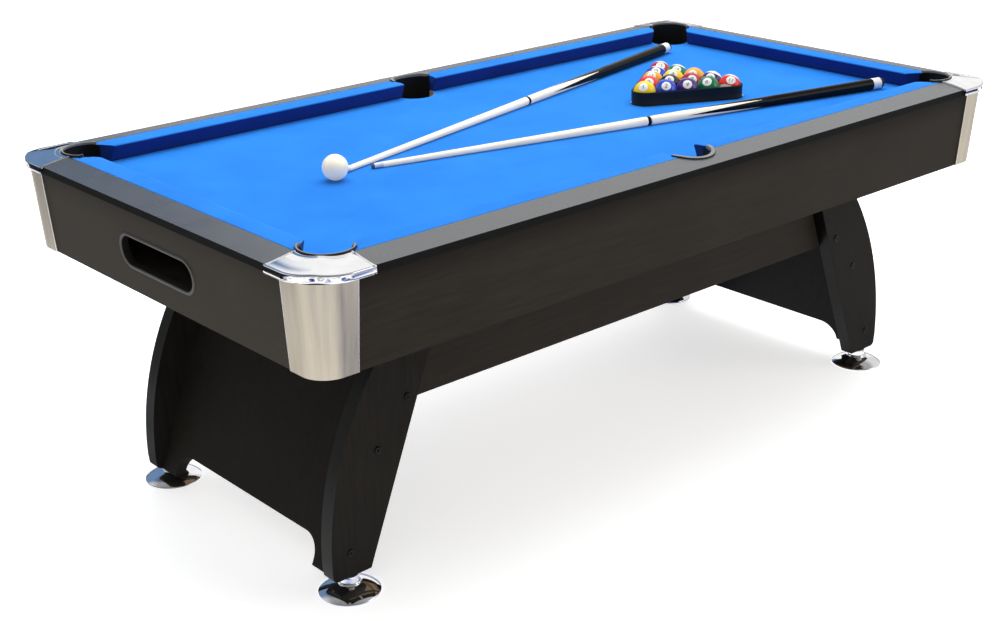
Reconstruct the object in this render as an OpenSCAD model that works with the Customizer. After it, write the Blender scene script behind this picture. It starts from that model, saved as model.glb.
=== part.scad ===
// Home pool table with drop pockets and a ball return, its ball set, rack and two cues.
// Millimetres, +Z up, origin on the floor under the middle of the table.
// The head end is at -X, the foot end at +X, and the left side at +Y.

/* [Table] */
// Length over the rails
table_l = 2134; // [2120:2:2150]
// Width over the rails
table_w = 1130; // [1120:2:1140]
// Height of the playing cloth above the floor
bed_z = 760; // [758:1:764]
// Thickness of the bed board
bed_t = 15; // [12:1:16]
// Thickness of the playing cloth
cloth_t = 1; // [0.8:0.1:1.2]

/* [Rails] */
// Width of the rail boards
rail_w = 65; // [63:1:67]
// Height of the rails' inner edge above the cloth
rail_h = 39.5; // [38:0.5:41]
// Fall of the rail's top from its inner to its outer edge
rail_fall = 9.4; // [8:0.1:10]
// Height of the rail's outer edge
rail_edge_h = 15.6; // [14:0.1:17]
// Width of a cushion, from the rail to its nose
cushion_w = 53; // [51:1:54]
// Height of the nose below the rail's inner edge
nose_drop = 2.9; // [2:0.1:4]
// How far a cushion's foot stands back from its nose
cushion_undercut = 12; // [8:1:16]
// Radius of the rail frame's outer corners
corner_r = 88; // [84:1:92]

/* [Aprons] */
// Height of the aprons' lower edge above the floor
apron_z = 584.5; // [582:0.5:588]
// Apron's thickness
apron_t = 16; // [14:1:16]
// How far an apron's top stands back from the rail's outer edge
apron_in = 9.8; // [9:0.1:11]
// How much further its lower edge stands back
apron_lean_in = 13.8; // [12:0.2:14]

/* [Pockets] */
// Radius of a pocket's hole
pocket_r = 52; // [50:1:52]
// Wall of a pocket liner
liner_wall = 6; // [5:1:6]
// Width of the lip round a pocket
lip_w = 10; // [9:1:10]
// Height of the lip above the rail's inner edge
lip_h = 4.5; // [4:0.5:6]
// Distance of a side pocket's centre outside the cushion noses
side_pocket_out = 27; // [24:1:27]

/* [Corner trim] */
// How far a corner cap stands out past the rails
cap_over = 7; // [6:0.5:8]
// Thickness of a cap's shell
cap_t = 3; // [2.5:0.5:3.5]
// Height of a cap's skirt
cap_skirt = 17; // [15:0.5:17]
// Reach of a cap along the rails, from the rail's outer corner
cap_reach = 138; // [134:1:142]
// Reach of a corner wrap along an end apron at its top
wrap_end_top = 109; // [106:1:112]
// Reach of a corner wrap along an end apron at its foot
wrap_end_foot = 113; // [110:1:116]
// Reach of a corner wrap along a long apron at its top
wrap_side_top = 108; // [106:1:110]
// Reach of a corner wrap along a long apron at its foot
wrap_side_foot = 109; // [107:1:112]
// How far a wrap stands proud of the aprons
wrap_t = 3.5; // [3:0.5:4]

/* [Ball return] */
// Length of the return opening's trim
return_l = 288; // [280:2:292]
// Height of the return opening's trim
return_h = 80; // [78:1:82]
// Height of the return opening's centre above the floor
return_z = 677; // [676:1:678]
// Width of the trim
return_trim = 6; // [5:1:7]
// Height of the gutter floors at the head end
gutter_z = 640; // [639:1:641]
// Fall of the gutters for each millimetre of length
gutter_fall = 0.015; // [0.012:0.001:0.016]

/* [Legs] */
// Distance of a leg panel's outer face from the middle of the table
leg_y = 367; // [365:1:369]
// Leg panel's thickness
leg_t = 36; // [34:1:38]
// Height of the legs' lower edge above the floor
leg_z = 42; // [42:1:44]
// Height of the legs' top, where the bed supports stand on them
leg_top_z = 590; // [589:1:592]
// Furthest reach of a leg panel from the middle of the table
leg_x = 921; // [918:1:924]
// Radius of a leg's curved outer edge
leg_r = 690; // [680:5:700]
// Slope of the legs' inner edge and of the end panels
leg_slope = 0.39; // [0.38:0.01:0.4]
// Thickness of the leaning end panels
panel_t = 25; // [23:1:26]
// Height of a stretcher's lower edge
stretcher_z = 373; // [370:1:376]
// Stretcher's thickness
stretcher_t = 25; // [22:1:26]

/* [Levelling feet] */
// Radius of a levelling foot
foot_r = 66.5; // [64:0.5:68]
// Distance of the feet from the middle of the table, along its length
foot_x = 868; // [866:1:870]
// Radius of a foot's stud
stud_r = 6; // [5.5:0.5:6.5]

/* [Balls, rack and cues] */
// Radius of a ball
ball_r = 28.575; // [28:0.025:28.6]
// Thickness of the rack's wall
rack_wall = 4.5; // [4:0.5:6]
// Height of the rack
rack_h = 34; // [30:1:36]
// Length of a cue
cue_l = 1448; // [1440:2:1450]
// Radius of a cue at its tip
cue_tip_r = 6; // [5.5:0.5:6.5]
// Radius of a cue at its butt
cue_butt_r = 15; // [14:0.5:15.5]

/* [Hidden] */
$fn = 96;

// Clearance between pieces that move apart
gap = 0.3;
// Glue line between boards of one piece
seam = 0.1;
half_l = table_l / 2;
half_w = table_w / 2;
rail_z = bed_z + rail_h;
rail_edge_z = rail_z - rail_fall;
rail_foot_z = rail_edge_z - rail_edge_h;
apron_lean = apron_lean_in / (rail_foot_z - apron_z);
apron_tilt = atan(apron_lean);
nose_in = rail_w + cushion_w;
nose_x = half_l - nose_in;
nose_y = half_w - nose_in;
side_pocket_y = nose_y + side_pocket_out;
board_in = apron_in + apron_t + 2.4;
board_corner_r = 40;
board_z = bed_z - cloth_t - bed_t;
lip_r = pocket_r + lip_w;
lip_z = rail_z + lip_h;
cap_edge_z = rail_z - rail_fall + cap_t - cap_over * rail_fall / rail_w;
wrap_axis_in = 75;
gutter_y = [394, 522];
gutter_wall = 3;
gutter_wall_h = 40;
gutter_reach = 1012;
tray_x = [905, 1027];
support_x = 661;
support_t = 36;
// The curve of a leg's outer edge is an arc about this point
leg_arc_z = 90;
leg_inner_x0 = 690;
leg_inner_z0 = 381;
panel_x0 = 885;
panel_z0 = 98;
panel_lean = atan(leg_slope);
foot_y = leg_y - leg_t / 2;
insert_r = 9;
insert_h = 40;
stud_top = leg_z + 50;
bolt_r = 4;
// Bolts through each leg panel, along the table and up
BOLTS = [[713, 400], [794, 305], [874, 98]];
ball_z = bed_z + gap + ball_r;
ball_pitch = 2 * ball_r + gap;
rack_at = [483, -9.3];
rack_turn = -26.7;
rack_side = 4 * ball_pitch;
rack_inner_r = ball_r + 0.45;

// The cushions run past the corner pockets' centres before their ends are cut
half_end = nose_y + 8;
half_side = nose_x + 8;

// Pocket centres, with the direction in which each mouth opens
POCKET_HEAD_LEFT = [-nose_x, nose_y, -45];
POCKET_HEAD_RIGHT = [-nose_x, -nose_y, 45];
POCKET_FOOT_LEFT = [nose_x, nose_y, -135];
POCKET_FOOT_RIGHT = [nose_x, -nose_y, 135];
POCKET_SIDE_LEFT = [0, side_pocket_y, -90];
POCKET_SIDE_RIGHT = [0, -side_pocket_y, 90];
POCKETS = [
    POCKET_HEAD_LEFT, POCKET_HEAD_RIGHT, POCKET_FOOT_LEFT, POCKET_FOOT_RIGHT,
    POCKET_SIDE_LEFT, POCKET_SIDE_RIGHT
];

// Each side of the table: turn about Z, half size across it, half size along it
HEAD = [0, half_l, half_w];
RIGHT = [90, half_w, half_l];
FOOT = [180, half_l, half_w];
LEFT = [-90, half_w, half_l];

// Corners as signs of X and Y
HEAD_LEFT = [-1, 1];
HEAD_RIGHT = [-1, -1];
FOOT_LEFT = [1, 1];
FOOT_RIGHT = [1, -1];
CORNERS = [HEAD_LEFT, HEAD_RIGHT, FOOT_LEFT, FOOT_RIGHT];

// Ball numbers in the rack: the front row from left to right, then each row behind it
RACK_ROWS = [[1, 2, 4, 6, 11], [3, 8, 7, 12], [13, 9, 5], [10, 14], [15]];

// How far the apron's outer face stands back from the rail's edge at height z
function apron_face(z) = apron_in + (rail_foot_z - z) * apron_lean;
function leg_inner_x(z) = leg_inner_x0 + (leg_inner_z0 - z) * leg_slope;
function panel_outer_x(z) = panel_x0 - (z - panel_z0) * leg_slope;
function panel_inner_x(z) = panel_outer_x(z) - panel_t / cos(panel_lean);
function gutter_floor(x) = gutter_z + (x + 1000) * gutter_fall;

// Moves a shape made for the head end's outer edge (x inwards, y along) to a side
module on_side(side) {
    rotate([0, 0, side[0]]) translate([-side[1], 0, 0]) children();
}

// Runs a profile (x inwards, y up) along the side
module run_along(length) {
    rotate([90, 0, 0]) linear_extrude(height = length, center = true) children();
}

module at_corner(corner) {
    flip_x = corner[0] > 0 ? 0 : 1;
    flip_y = corner[1] > 0 ? 0 : 1;
    mirror([flip_x, 0, 0]) mirror([0, flip_y, 0]) children();
}

module at_pocket(pocket) {
    translate([pocket[0], pocket[1], 0]) rotate([0, 0, pocket[2]]) children();
}

module round_rect(l, w, r) {
    square([l - 2 * r, w], center = true);
    square([l, w - 2 * r], center = true);
    for (sx = [-1, 1], sy = [-1, 1]) translate([sx * (l / 2 - r), sy * (w / 2 - r)]) circle(r);
}

// Half disc on the outer side of a pocket's centre
module outer_half(r, z0, z1) {
    translate([0, 0, z0]) intersection() {
        cylinder(r = r, h = z1 - z0);
        translate([-2 * r, -2 * r, -1]) cube([2 * r, 4 * r, z1 - z0 + 2]);
    }
}

// Space above the bed that a pocket takes out of the cushions and rails
module throat_cut() {
    reach = 170;
    translate([-0.01, -pocket_r, bed_z]) cube([reach, 2 * pocket_r, 100]);
    outer_half(lip_r, bed_z - 20, bed_z + 100);
}

// Hole through the bed board and the cloth
module bed_cut() {
    translate([0, 0, board_z - 10]) cylinder(r = pocket_r, h = 50);
    outer_half(lip_r, board_z - 10, bed_z + 10);
}

module pocket_cuts() {
    for (pocket = POCKETS) at_pocket(pocket) throat_cut();
}

module bed_board() {
    color("tan") difference() {
        translate([0, 0, board_z]) linear_extrude(height = bed_t)
            round_rect(table_l - 2 * board_in, table_w - 2 * board_in, board_corner_r);
        for (pocket = POCKETS) at_pocket(pocket) bed_cut();
    }
}

module bed_cloth() {
    color("dodgerblue") difference() {
        translate([0, 0, bed_z - cloth_t]) linear_extrude(height = cloth_t)
            round_rect(table_l - 2 * board_in, table_w - 2 * board_in, board_corner_r);
        for (pocket = POCKETS) at_pocket(pocket) bed_cut();
    }
}

module cushion_profile() {
    flat_in = nose_in - 14;
    nose_h = 3;
    polygon([
        [rail_w + gap, bed_z + gap], [rail_w + gap, rail_z - gap], [flat_in, rail_z - gap],
        [nose_in, rail_z - nose_drop], [nose_in, rail_z - nose_drop - nose_h],
        [nose_in - cushion_undercut, bed_z + gap]
    ]);
}

// A cushion on one side, between two places along it
module cushion(side, from, to) {
    color("dodgerblue") difference() {
        on_side(side) translate([0, (from + to) / 2, 0]) run_along(to - from) cushion_profile();
        pocket_cuts();
    }
}

module rail_profile() {
    round = 2;
    foot_in = board_in + 2;
    polygon([
        [0, rail_foot_z], [0, rail_edge_z - round], [round, rail_edge_z + round * rail_fall / rail_w],
        [rail_w, rail_z], [rail_w, bed_z], [foot_in, bed_z], [foot_in, rail_foot_z]
    ]);
}

module rail_board(side) {
    on_side(side) intersection() {
        run_along(2 * side[2]) rail_profile();
        linear_extrude(height = 1000) polygon([
            [0, -side[2]], [0, side[2]], [100, side[2] - 100], [100, 100 - side[2]]
        ]);
    }
}

module rail(side) {
    color("gray") difference() {
        intersection() {
            rail_board(side);
            linear_extrude(height = 1000) round_rect(table_l, table_w, corner_r);
        }
        pocket_cuts();
    }
}

module apron_profile() {
    foot_in = apron_face(apron_z);
    polygon([
        [apron_in, rail_foot_z], [apron_in + apron_t, rail_foot_z],
        [foot_in + apron_t, apron_z], [foot_in, apron_z]
    ]);
}

module apron_board(side) {
    on_side(side) run_along(2 * (side[2] - wrap_axis_in)) apron_profile();
}

module apron(side) {
    color([0.16, 0.14, 0.13]) apron_board(side);
}

module apron_head() {
    color([0.16, 0.14, 0.13]) difference() {
        apron_board(HEAD);
        on_head_apron() stadium(return_l - 2 * return_trim, return_h - 2 * return_trim, -60, 60);
    }
}

// Frame on the head apron's face: x out of the face, y across, z up it
module on_head_apron() {
    translate([apron_face(return_z) - half_l, 0, return_z]) rotate([0, -apron_tilt, 0])
        mirror([1, 0, 0]) children();
}

// Slot-ended plate that stands from x0 to x1 in front of the face
module stadium(l, h, x0, x1) {
    straight = l - h;
    translate([x0, 0, 0]) rotate([0, 90, 0]) linear_extrude(height = x1 - x0) {
        square([h, straight], center = true);
        for (s = [-1, 1]) translate([0, s * straight / 2]) circle(h / 2);
    }
}

module return_bezel() {
    trim_out = 2.5;
    sleeve = 1.5;
    inner_l = return_l - 2 * return_trim - 2 * sleeve;
    inner_h = return_h - 2 * return_trim - 2 * sleeve;
    color("dimgray") on_head_apron() difference() {
        union() {
            stadium(return_l, return_h, 0, trim_out);
            stadium(return_l - 2 * return_trim, return_h - 2 * return_trim, -apron_t, 1);
        }
        stadium(inner_l, inner_h, -apron_t - 10, trim_out + 10);
    }
}

// Rounded cabinet outline, grown by a margin past the rails
module outline(margin) {
    round_rect(table_l + 2 * margin, table_w + 2 * margin, corner_r + margin);
}

// Section under a cap's top, which follows the rail's fall (x inwards, y up)
module cap_profile() {
    inner_in = cap_reach + 40;
    outer_z = cap_edge_z - rail_fall / rail_w;
    inner_z = rail_z - rail_fall + cap_t + inner_in * rail_fall / rail_w;
    foot_z = cap_edge_z - cap_skirt;
    polygon([
        [-cap_over - 1, foot_z], [inner_in, foot_z], [inner_in, inner_z], [-cap_over - 1, outer_z]
    ]);
}

module corner_cap(corner) {
    web = 20;
    reach_x = half_l - cap_reach;
    reach_y = half_w - cap_reach;
    hollow_foot_z = cap_edge_z - cap_skirt - 1;
    hollow_top_z = cap_edge_z - cap_t;
    color("gainsboro") at_corner(corner) difference() {
        intersection() {
            translate([0, 0, bed_z]) linear_extrude(height = 100) outline(cap_over);
            on_side(FOOT) run_along(table_w + 100) cap_profile();
            on_side(LEFT) run_along(table_l + 100) cap_profile();
            linear_extrude(height = 1000) difference() {
                polygon([
                    [half_l + 50, half_w + 50], [reach_x, half_w + 50], [reach_x, half_w - rail_w],
                    [nose_x + web, half_w - rail_w], [half_l - rail_w, nose_y + web],
                    [half_l - rail_w, reach_y], [half_l + 50, reach_y]
                ]);
                translate([nose_x, nose_y]) circle(lip_r + 0.2);
            }
        }
        translate([0, 0, hollow_foot_z]) linear_extrude(height = hollow_top_z - hollow_foot_z)
            difference() {
                outline(cap_over - cap_t);
                outline(-0.5);
            }
        for (side = [FOOT, LEFT]) rail_board(side);
        linear_extrude(height = rail_z)
            square([table_l - 2 * rail_w, table_w - 2 * rail_w], center = true);
    }
}

// Wall of a wrap's straight arm (x inwards, y up)
module wrap_profile() {
    foot_in = apron_face(apron_z);
    polygon([
        [apron_in, rail_foot_z], [apron_in - wrap_t, rail_foot_z],
        [foot_in - wrap_t, apron_z], [foot_in, apron_z]
    ]);
}

// Straight arm along the +X end, from the corner's round part to the slanted edge
module wrap_arm(half_across, half_along, top, foot) {
    reach = max(top, foot);
    mirror([1, 0, 0]) translate([-half_across, 0, 0]) intersection() {
        translate([0, half_along - (wrap_axis_in + reach) / 2, 0])
            run_along(reach - wrap_axis_in) wrap_profile();
        rotate([90, 0, 90]) linear_extrude(height = 200, center = true) polygon([
            [half_along, apron_z - 1], [half_along, rail_foot_z + 1],
            [half_along - top, rail_foot_z + 1], [half_along - foot, apron_z - 1]
        ]);
    }
}

module corner_wrap(corner) {
    top_r = wrap_axis_in - apron_in;
    foot_round_r = wrap_axis_in - apron_face(apron_z);
    wall_h = rail_foot_z - apron_z;
    color("silver") at_corner(corner) {
        wrap_arm(half_l, half_w, wrap_end_top, wrap_end_foot);
        mirror([1, -1, 0]) wrap_arm(half_w, half_l, wrap_side_top, wrap_side_foot);
        translate([half_l - wrap_axis_in, half_w - wrap_axis_in, apron_z]) intersection() {
            difference() {
                cylinder(r1 = foot_round_r + wrap_t, r2 = top_r + wrap_t, h = wall_h);
                cylinder(r1 = foot_round_r, r2 = top_r, h = wall_h);
            }
            cube([100, 100, wall_h]);
        }
    }
}

// Liner of a pocket: a tube under the bed, a half ring behind the mouth, a lip on top whose arms end
// at lip_end, and ears in front of the cushions' cut ends out to ear_end
module pocket_liner(pocket, lip_end, ear_end) {
    tube_foot_z = gutter_floor(pocket[0]) + gutter_wall_h + 4;
    ear_in = 4;
    ear_t = 1.5;
    color([0.08, 0.08, 0.08]) at_pocket(pocket) {
        difference() {
            union() {
                translate([0, 0, tube_foot_z])
                    cylinder(r = pocket_r + liner_wall, h = board_z - 0.5 - tube_foot_z);
                outer_half(lip_r, board_z - 0.6, lip_z);
                translate([0, -lip_r, rail_z + 0.1]) cube([lip_end, 2 * lip_r, lip_h - 0.1]);
            }
            translate([0, 0, tube_foot_z - 1]) cylinder(r = pocket_r, h = 200);
            translate([0, -pocket_r, rail_z - 5]) cube([100, 2 * pocket_r, 20]);
        }
        for (v = [-pocket_r, pocket_r - ear_t]) translate([-ear_in, v, bed_z + gap])
            cube([ear_end + ear_in, ear_t, rail_z - bed_z - 2 * gap]);
    }
}

// Sloping trough under one side's pockets; side_y is 1 for the left and -1 for the right
module gutter(side_y) {
    inner_w = gutter_y[1] - gutter_y[0];
    inner_y = -inner_w / 2;
    slope = atan(gutter_fall);
    full = 2 * gutter_reach;
    // The inner wall starts past the gate through which the balls roll into the tray
    gate_x = -tray_x[0] - 4;
    color("dimgray") mirror([0, side_y > 0 ? 0 : 1, 0])
        translate([0, (gutter_y[0] + gutter_y[1]) / 2, gutter_floor(0)]) rotate([0, -slope, 0]) {
            translate([-gutter_reach, inner_y - gutter_wall, -gutter_wall])
                cube([full, inner_w + 2 * gutter_wall, gutter_wall - seam]);
            translate([-gutter_reach, -inner_y, 0]) cube([full, gutter_wall, gutter_wall_h]);
            translate([gate_x, inner_y - gutter_wall, 0])
                cube([gutter_reach - gate_x, gutter_wall, gutter_wall_h]);
            for (x = [-gutter_reach, gutter_reach - gutter_wall]) translate([x, inner_y + seam, 0])
                cube([gutter_wall, inner_w - 2 * seam, gutter_wall_h]);
        }
}

// Open tray behind the return opening, between the two gutters' gates
module return_tray() {
    wall = 4;
    floor_z = gutter_z - 2;
    half_y = gutter_y[0] - gutter_wall - 0.5;
    back_h = 68;
    front_h = 40;
    depth = tray_x[1] - tray_x[0];
    color("dimgray") translate([-tray_x[1], 0, floor_z - wall]) difference() {
        translate([0, -half_y, 0]) cube([depth, 2 * half_y, back_h]);
        translate([wall, -half_y - 1, wall]) cube([depth - 2 * wall, 2 * half_y + 2, back_h]);
        translate([-1, -half_y - 1, front_h]) cube([depth / 2, 2 * half_y + 2, back_h]);
        translate([-1, -return_l / 2, wall]) cube([depth / 2, return_l, back_h]);
    }
}

// Three boards on edge under the bed, each with a low wing under the gutters
module bed_supports() {
    low_y = gutter_y[0] - gutter_wall - 3;
    wing_y = low_y + seam;
    end_y = 521;
    color("burlywood") for (x = [-support_x, 0, support_x]) translate([x - support_t / 2, 0, leg_top_z]) {
        translate([0, -low_y, 0]) cube([support_t, 2 * low_y, board_z - leg_top_z]);
        for (y = [-end_y, wing_y]) translate([0, y, 0])
            cube([support_t, end_y - wing_y, gutter_floor(x) - 6 - leg_top_z]);
    }
}

// Glued blocks that hold the aprons together behind the wraps
module corner_blocks() {
    block = 60;
    block_h = 40;
    block_in = apron_face(leg_top_z) + apron_t + 0.3;
    color("burlywood") for (corner = CORNERS) at_corner(corner)
        translate([half_l - block_in - block, half_w - block_in - block, leg_top_z])
            cube([block, block, block_h]);
}

// Side view of a leg panel (x along the table, y up)
module leg_outline() {
    toe_r = 12;
    toe_x = leg_x - 1.6;
    difference() {
        intersection() {
            translate([leg_x - leg_r, leg_arc_z]) circle(leg_r, $fn = 360);
            polygon([
                [leg_inner_x(leg_z), leg_z], [leg_x + 10, leg_z],
                [leg_x + 10, leg_top_z], [leg_inner_x(leg_top_z), leg_top_z]
            ]);
        }
        translate([toe_x - toe_r, leg_z - 1]) difference() {
            square([toe_r + 10, toe_r + 1]);
            translate([0, toe_r + 1]) circle(toe_r);
        }
    }
}

module leg(corner) {
    color([0.13, 0.13, 0.12]) at_corner(corner) difference() {
        translate([0, leg_y, 0]) rotate([90, 0, 0]) linear_extrude(height = leg_t) leg_outline();
        for (bolt = BOLTS) translate([bolt[0], leg_y + 1, bolt[1]]) rotate([90, 0, 0])
            cylinder(r = bolt_r + 0.2, h = leg_t + 2);
        translate([foot_x, foot_y, leg_z - 1]) cylinder(r = insert_r + 0.05, h = insert_h + 1.5);
        translate([foot_x, foot_y, leg_z - 1]) cylinder(r = stud_r + 1, h = stud_top - leg_z + 2);
    }
}

// Leaning board between the two leg panels of one end, with an arch cut in its foot
module leg_panel(end_x) {
    half_y = leg_y - leg_t - 0.05;
    arch_half = 272;
    arch_r = 45;
    long = 800;
    color([0.16, 0.15, 0.15]) mirror([end_x > 0 ? 0 : 1, 0, 0]) difference() {
        intersection() {
            translate([panel_x0, 0, panel_z0]) rotate([0, -panel_lean, 0]) difference() {
                translate([-panel_t, -half_y, -200]) cube([panel_t, 2 * half_y, long]);
                translate([-panel_t - 1, 0, 0]) rotate([90, 0, 90]) linear_extrude(height = panel_t + 2) {
                    translate([-arch_half, -201]) square([2 * arch_half, 201 - arch_r]);
                    translate([arch_r - arch_half, -201]) square([2 * (arch_half - arch_r), 201]);
                    for (s = [-1, 1]) translate([s * (arch_half - arch_r), -arch_r]) circle(arch_r);
                }
            }
            translate([0, -500, leg_z]) cube([1200, 1000, leg_top_z - leg_z]);
        }
        for (bolt = [BOLTS[1], BOLTS[2]], s = [-1, 1])
            translate([bolt[0], s * (half_y + 1), bolt[1]]) rotate([s * 90, 0, 0])
                cylinder(r = bolt_r + 0.2, h = 41);
    }
}

module stretcher(side_y) {
    face_y = leg_y - leg_t - 0.05;
    color([0.13, 0.13, 0.12]) mirror([0, side_y > 0 ? 0 : 1, 0]) difference() {
        translate([0, face_y, 0]) rotate([90, 0, 0]) linear_extrude(height = stretcher_t) polygon([
            [-panel_inner_x(stretcher_z) + 1, stretcher_z], [panel_inner_x(stretcher_z) - 1, stretcher_z],
            [panel_inner_x(leg_top_z) - 1, leg_top_z], [1 - panel_inner_x(leg_top_z), leg_top_z]
        ]);
        for (s = [-1, 1]) translate([s * BOLTS[0][0], face_y + 1, BOLTS[0][1]]) rotate([90, 0, 0])
            cylinder(r = bolt_r + 0.2, h = stretcher_t + 2);
    }
}

module leg_bolts() {
    head_r = 9;
    head_h = 3;
    shank = 57;
    color("dimgray") for (corner = CORNERS) at_corner(corner) for (bolt = BOLTS)
        translate([bolt[0], leg_y, bolt[1]]) rotate([90, 0, 0]) {
            translate([0, 0, -head_h]) cylinder(r1 = head_r - 1.5, r2 = head_r, h = head_h);
            translate([0, 0, -1]) cylinder(r = bolt_r, h = shank + 1);
        }
}

module leveller_inserts() {
    color("goldenrod") for (corner = CORNERS) at_corner(corner)
        translate([foot_x, foot_y, leg_z + 0.3]) difference() {
            cylinder(r = insert_r, h = insert_h);
            translate([0, 0, -1]) cylinder(r = stud_r + 0.05, h = insert_h + 2);
        }
}

// Domed foot with a hub and a stud, turned about its own axis
module leveller(corner) {
    hub_r = 21;
    hub_top = leg_z - gap;
    edge_h = 3.5;
    dome_top = 20;
    color("gainsboro") at_corner(corner) translate([foot_x, foot_y, 0]) {
        rotate_extrude() polygon([
            [0, 0], [foot_r, 0], [foot_r, edge_h], [foot_r - 2, edge_h + 2], [foot_r - 12, 9.5],
            [foot_r - 26, 15.5], [hub_r + 6, dome_top], [hub_r, dome_top + 4], [hub_r, hub_top - 1],
            [hub_r - 1, hub_top], [0, hub_top]
        ]);
        cylinder(r = stud_r, h = stud_top);
    }
}

// Rounded triangle round the corner balls' centres, grown by r
module rounded_triangle(r) {
    circum = rack_side / sqrt(3);
    polygon([for (k = [0 : 2]) circum * [cos(90 + 120 * k), sin(90 + 120 * k)]]);
    for (k = [0 : 2]) rotate(120 * k) {
        translate([0, circum]) circle(r);
        translate([-rack_side / 2, -circum / 2 - r]) square([rack_side, r + 1]);
    }
}

module rack() {
    color([0.1, 0.1, 0.1]) translate([rack_at[0], rack_at[1], bed_z + gap]) rotate([0, 0, rack_turn])
        linear_extrude(height = rack_h) difference() {
            rounded_triangle(rack_inner_r + rack_wall);
            rounded_triangle(rack_inner_r);
        }
}

// The racked balls whose number passes the test
module racked_balls(low, high) {
    row_depth = ball_pitch * sin(60);
    front = -rack_side / sqrt(3) / 2;
    translate([rack_at[0], rack_at[1], ball_z]) rotate([0, 0, rack_turn])
        for (row = [0 : 4], place = [0 : 4 - row])
            if (RACK_ROWS[row][place] >= low && RACK_ROWS[row][place] <= high)
                translate([(place + row / 2) * ball_pitch - rack_side / 2, front + row * row_depth, 0])
                    sphere(ball_r);
}

module cue_ball() {
    color("ivory") translate([-610, -13, ball_z]) sphere(ball_r);
}

// Each cue: where its tip lies, and its direction
CUE_1 = [-577, 14, 13.2];
CUE_2 = [-503, 1, -13.58];
cue_mid_r = (cue_tip_r + cue_butt_r) / 2;

module on_cue(cue) {
    rise = asin((cue_butt_r - cue_tip_r) / cue_l);
    translate([cue[0], cue[1], bed_z + gap + cue_tip_r + 0.02]) rotate([0, -rise, cue[2]])
        rotate([0, 90, 0]) children();
}

module cue_shaft(cue) {
    color("wheat") on_cue(cue) cylinder(r1 = cue_tip_r, r2 = cue_mid_r, h = cue_l / 2);
}

module cue_butt(cue) {
    color([0.12, 0.11, 0.1]) on_cue(cue) translate([0, 0, cue_l / 2])
        cylinder(r1 = cue_mid_r, r2 = cue_butt_r, h = cue_l / 2);
}

bed_board();
bed_cloth();
cushion(HEAD, -half_end, half_end);  // cushion_head
cushion(FOOT, -half_end, half_end);  // cushion_foot
cushion(LEFT, -half_side, 0);  // cushion_left_head
cushion(LEFT, 0, half_side);  // cushion_left_foot
cushion(RIGHT, 0, half_side);  // cushion_right_head
cushion(RIGHT, -half_side, 0);  // cushion_right_foot
rail(HEAD);  // rail_head
rail(FOOT);  // rail_foot
rail(LEFT);  // rail_left
rail(RIGHT);  // rail_right
apron_head();
apron(FOOT);  // apron_foot
apron(LEFT);  // apron_left
apron(RIGHT);  // apron_right
corner_cap(HEAD_LEFT);  // corner_cap_head_left
corner_cap(HEAD_RIGHT);  // corner_cap_head_right
corner_cap(FOOT_LEFT);  // corner_cap_foot_left
corner_cap(FOOT_RIGHT);  // corner_cap_foot_right
corner_wrap(HEAD_LEFT);  // corner_wrap_head_left
corner_wrap(HEAD_RIGHT);  // corner_wrap_head_right
corner_wrap(FOOT_LEFT);  // corner_wrap_foot_left
corner_wrap(FOOT_RIGHT);  // corner_wrap_foot_right
pocket_liner(POCKET_HEAD_LEFT, 9, 14);  // pocket_head_left
pocket_liner(POCKET_HEAD_RIGHT, 9, 14);  // pocket_head_right
pocket_liner(POCKET_FOOT_LEFT, 9, 14);  // pocket_foot_left
pocket_liner(POCKET_FOOT_RIGHT, 9, 14);  // pocket_foot_right
pocket_liner(POCKET_SIDE_LEFT, 2, 2);  // pocket_side_left
pocket_liner(POCKET_SIDE_RIGHT, 2, 2);  // pocket_side_right
return_bezel();
return_tray();
gutter(1);  // gutter_left
gutter(-1);  // gutter_right
bed_supports();
corner_blocks();
leg(HEAD_LEFT);  // leg_head_left
leg(HEAD_RIGHT);  // leg_head_right
leg(FOOT_LEFT);  // leg_foot_left
leg(FOOT_RIGHT);  // leg_foot_right
leg_panel(-1);  // leg_panel_head
leg_panel(1);  // leg_panel_foot
stretcher(1);  // stretcher_left
stretcher(-1);  // stretcher_right
leg_bolts();
leveller(HEAD_LEFT);  // leveller_head_left
leveller(HEAD_RIGHT);  // leveller_head_right
leveller(FOOT_LEFT);  // leveller_foot_left
leveller(FOOT_RIGHT);  // leveller_foot_right
leveller_inserts();
rack();
cue_ball();
color("crimson") racked_balls(1, 8);  // solid_balls
color("gold") racked_balls(9, 15);  // striped_balls
cue_shaft(CUE_1);  // cue_1_shaft
cue_butt(CUE_1);  // cue_1_butt
cue_shaft(CUE_2);  // cue_2_shaft
cue_butt(CUE_2);  // cue_2_butt
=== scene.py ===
import random
from math import acos, asin, atan, atan2, cos, degrees, exp, hypot, pi, radians, sin, sqrt

import bmesh
import bpy
from mathutils import Matrix, Vector
from mathutils.geometry import delaunay_2d_cdt

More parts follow.
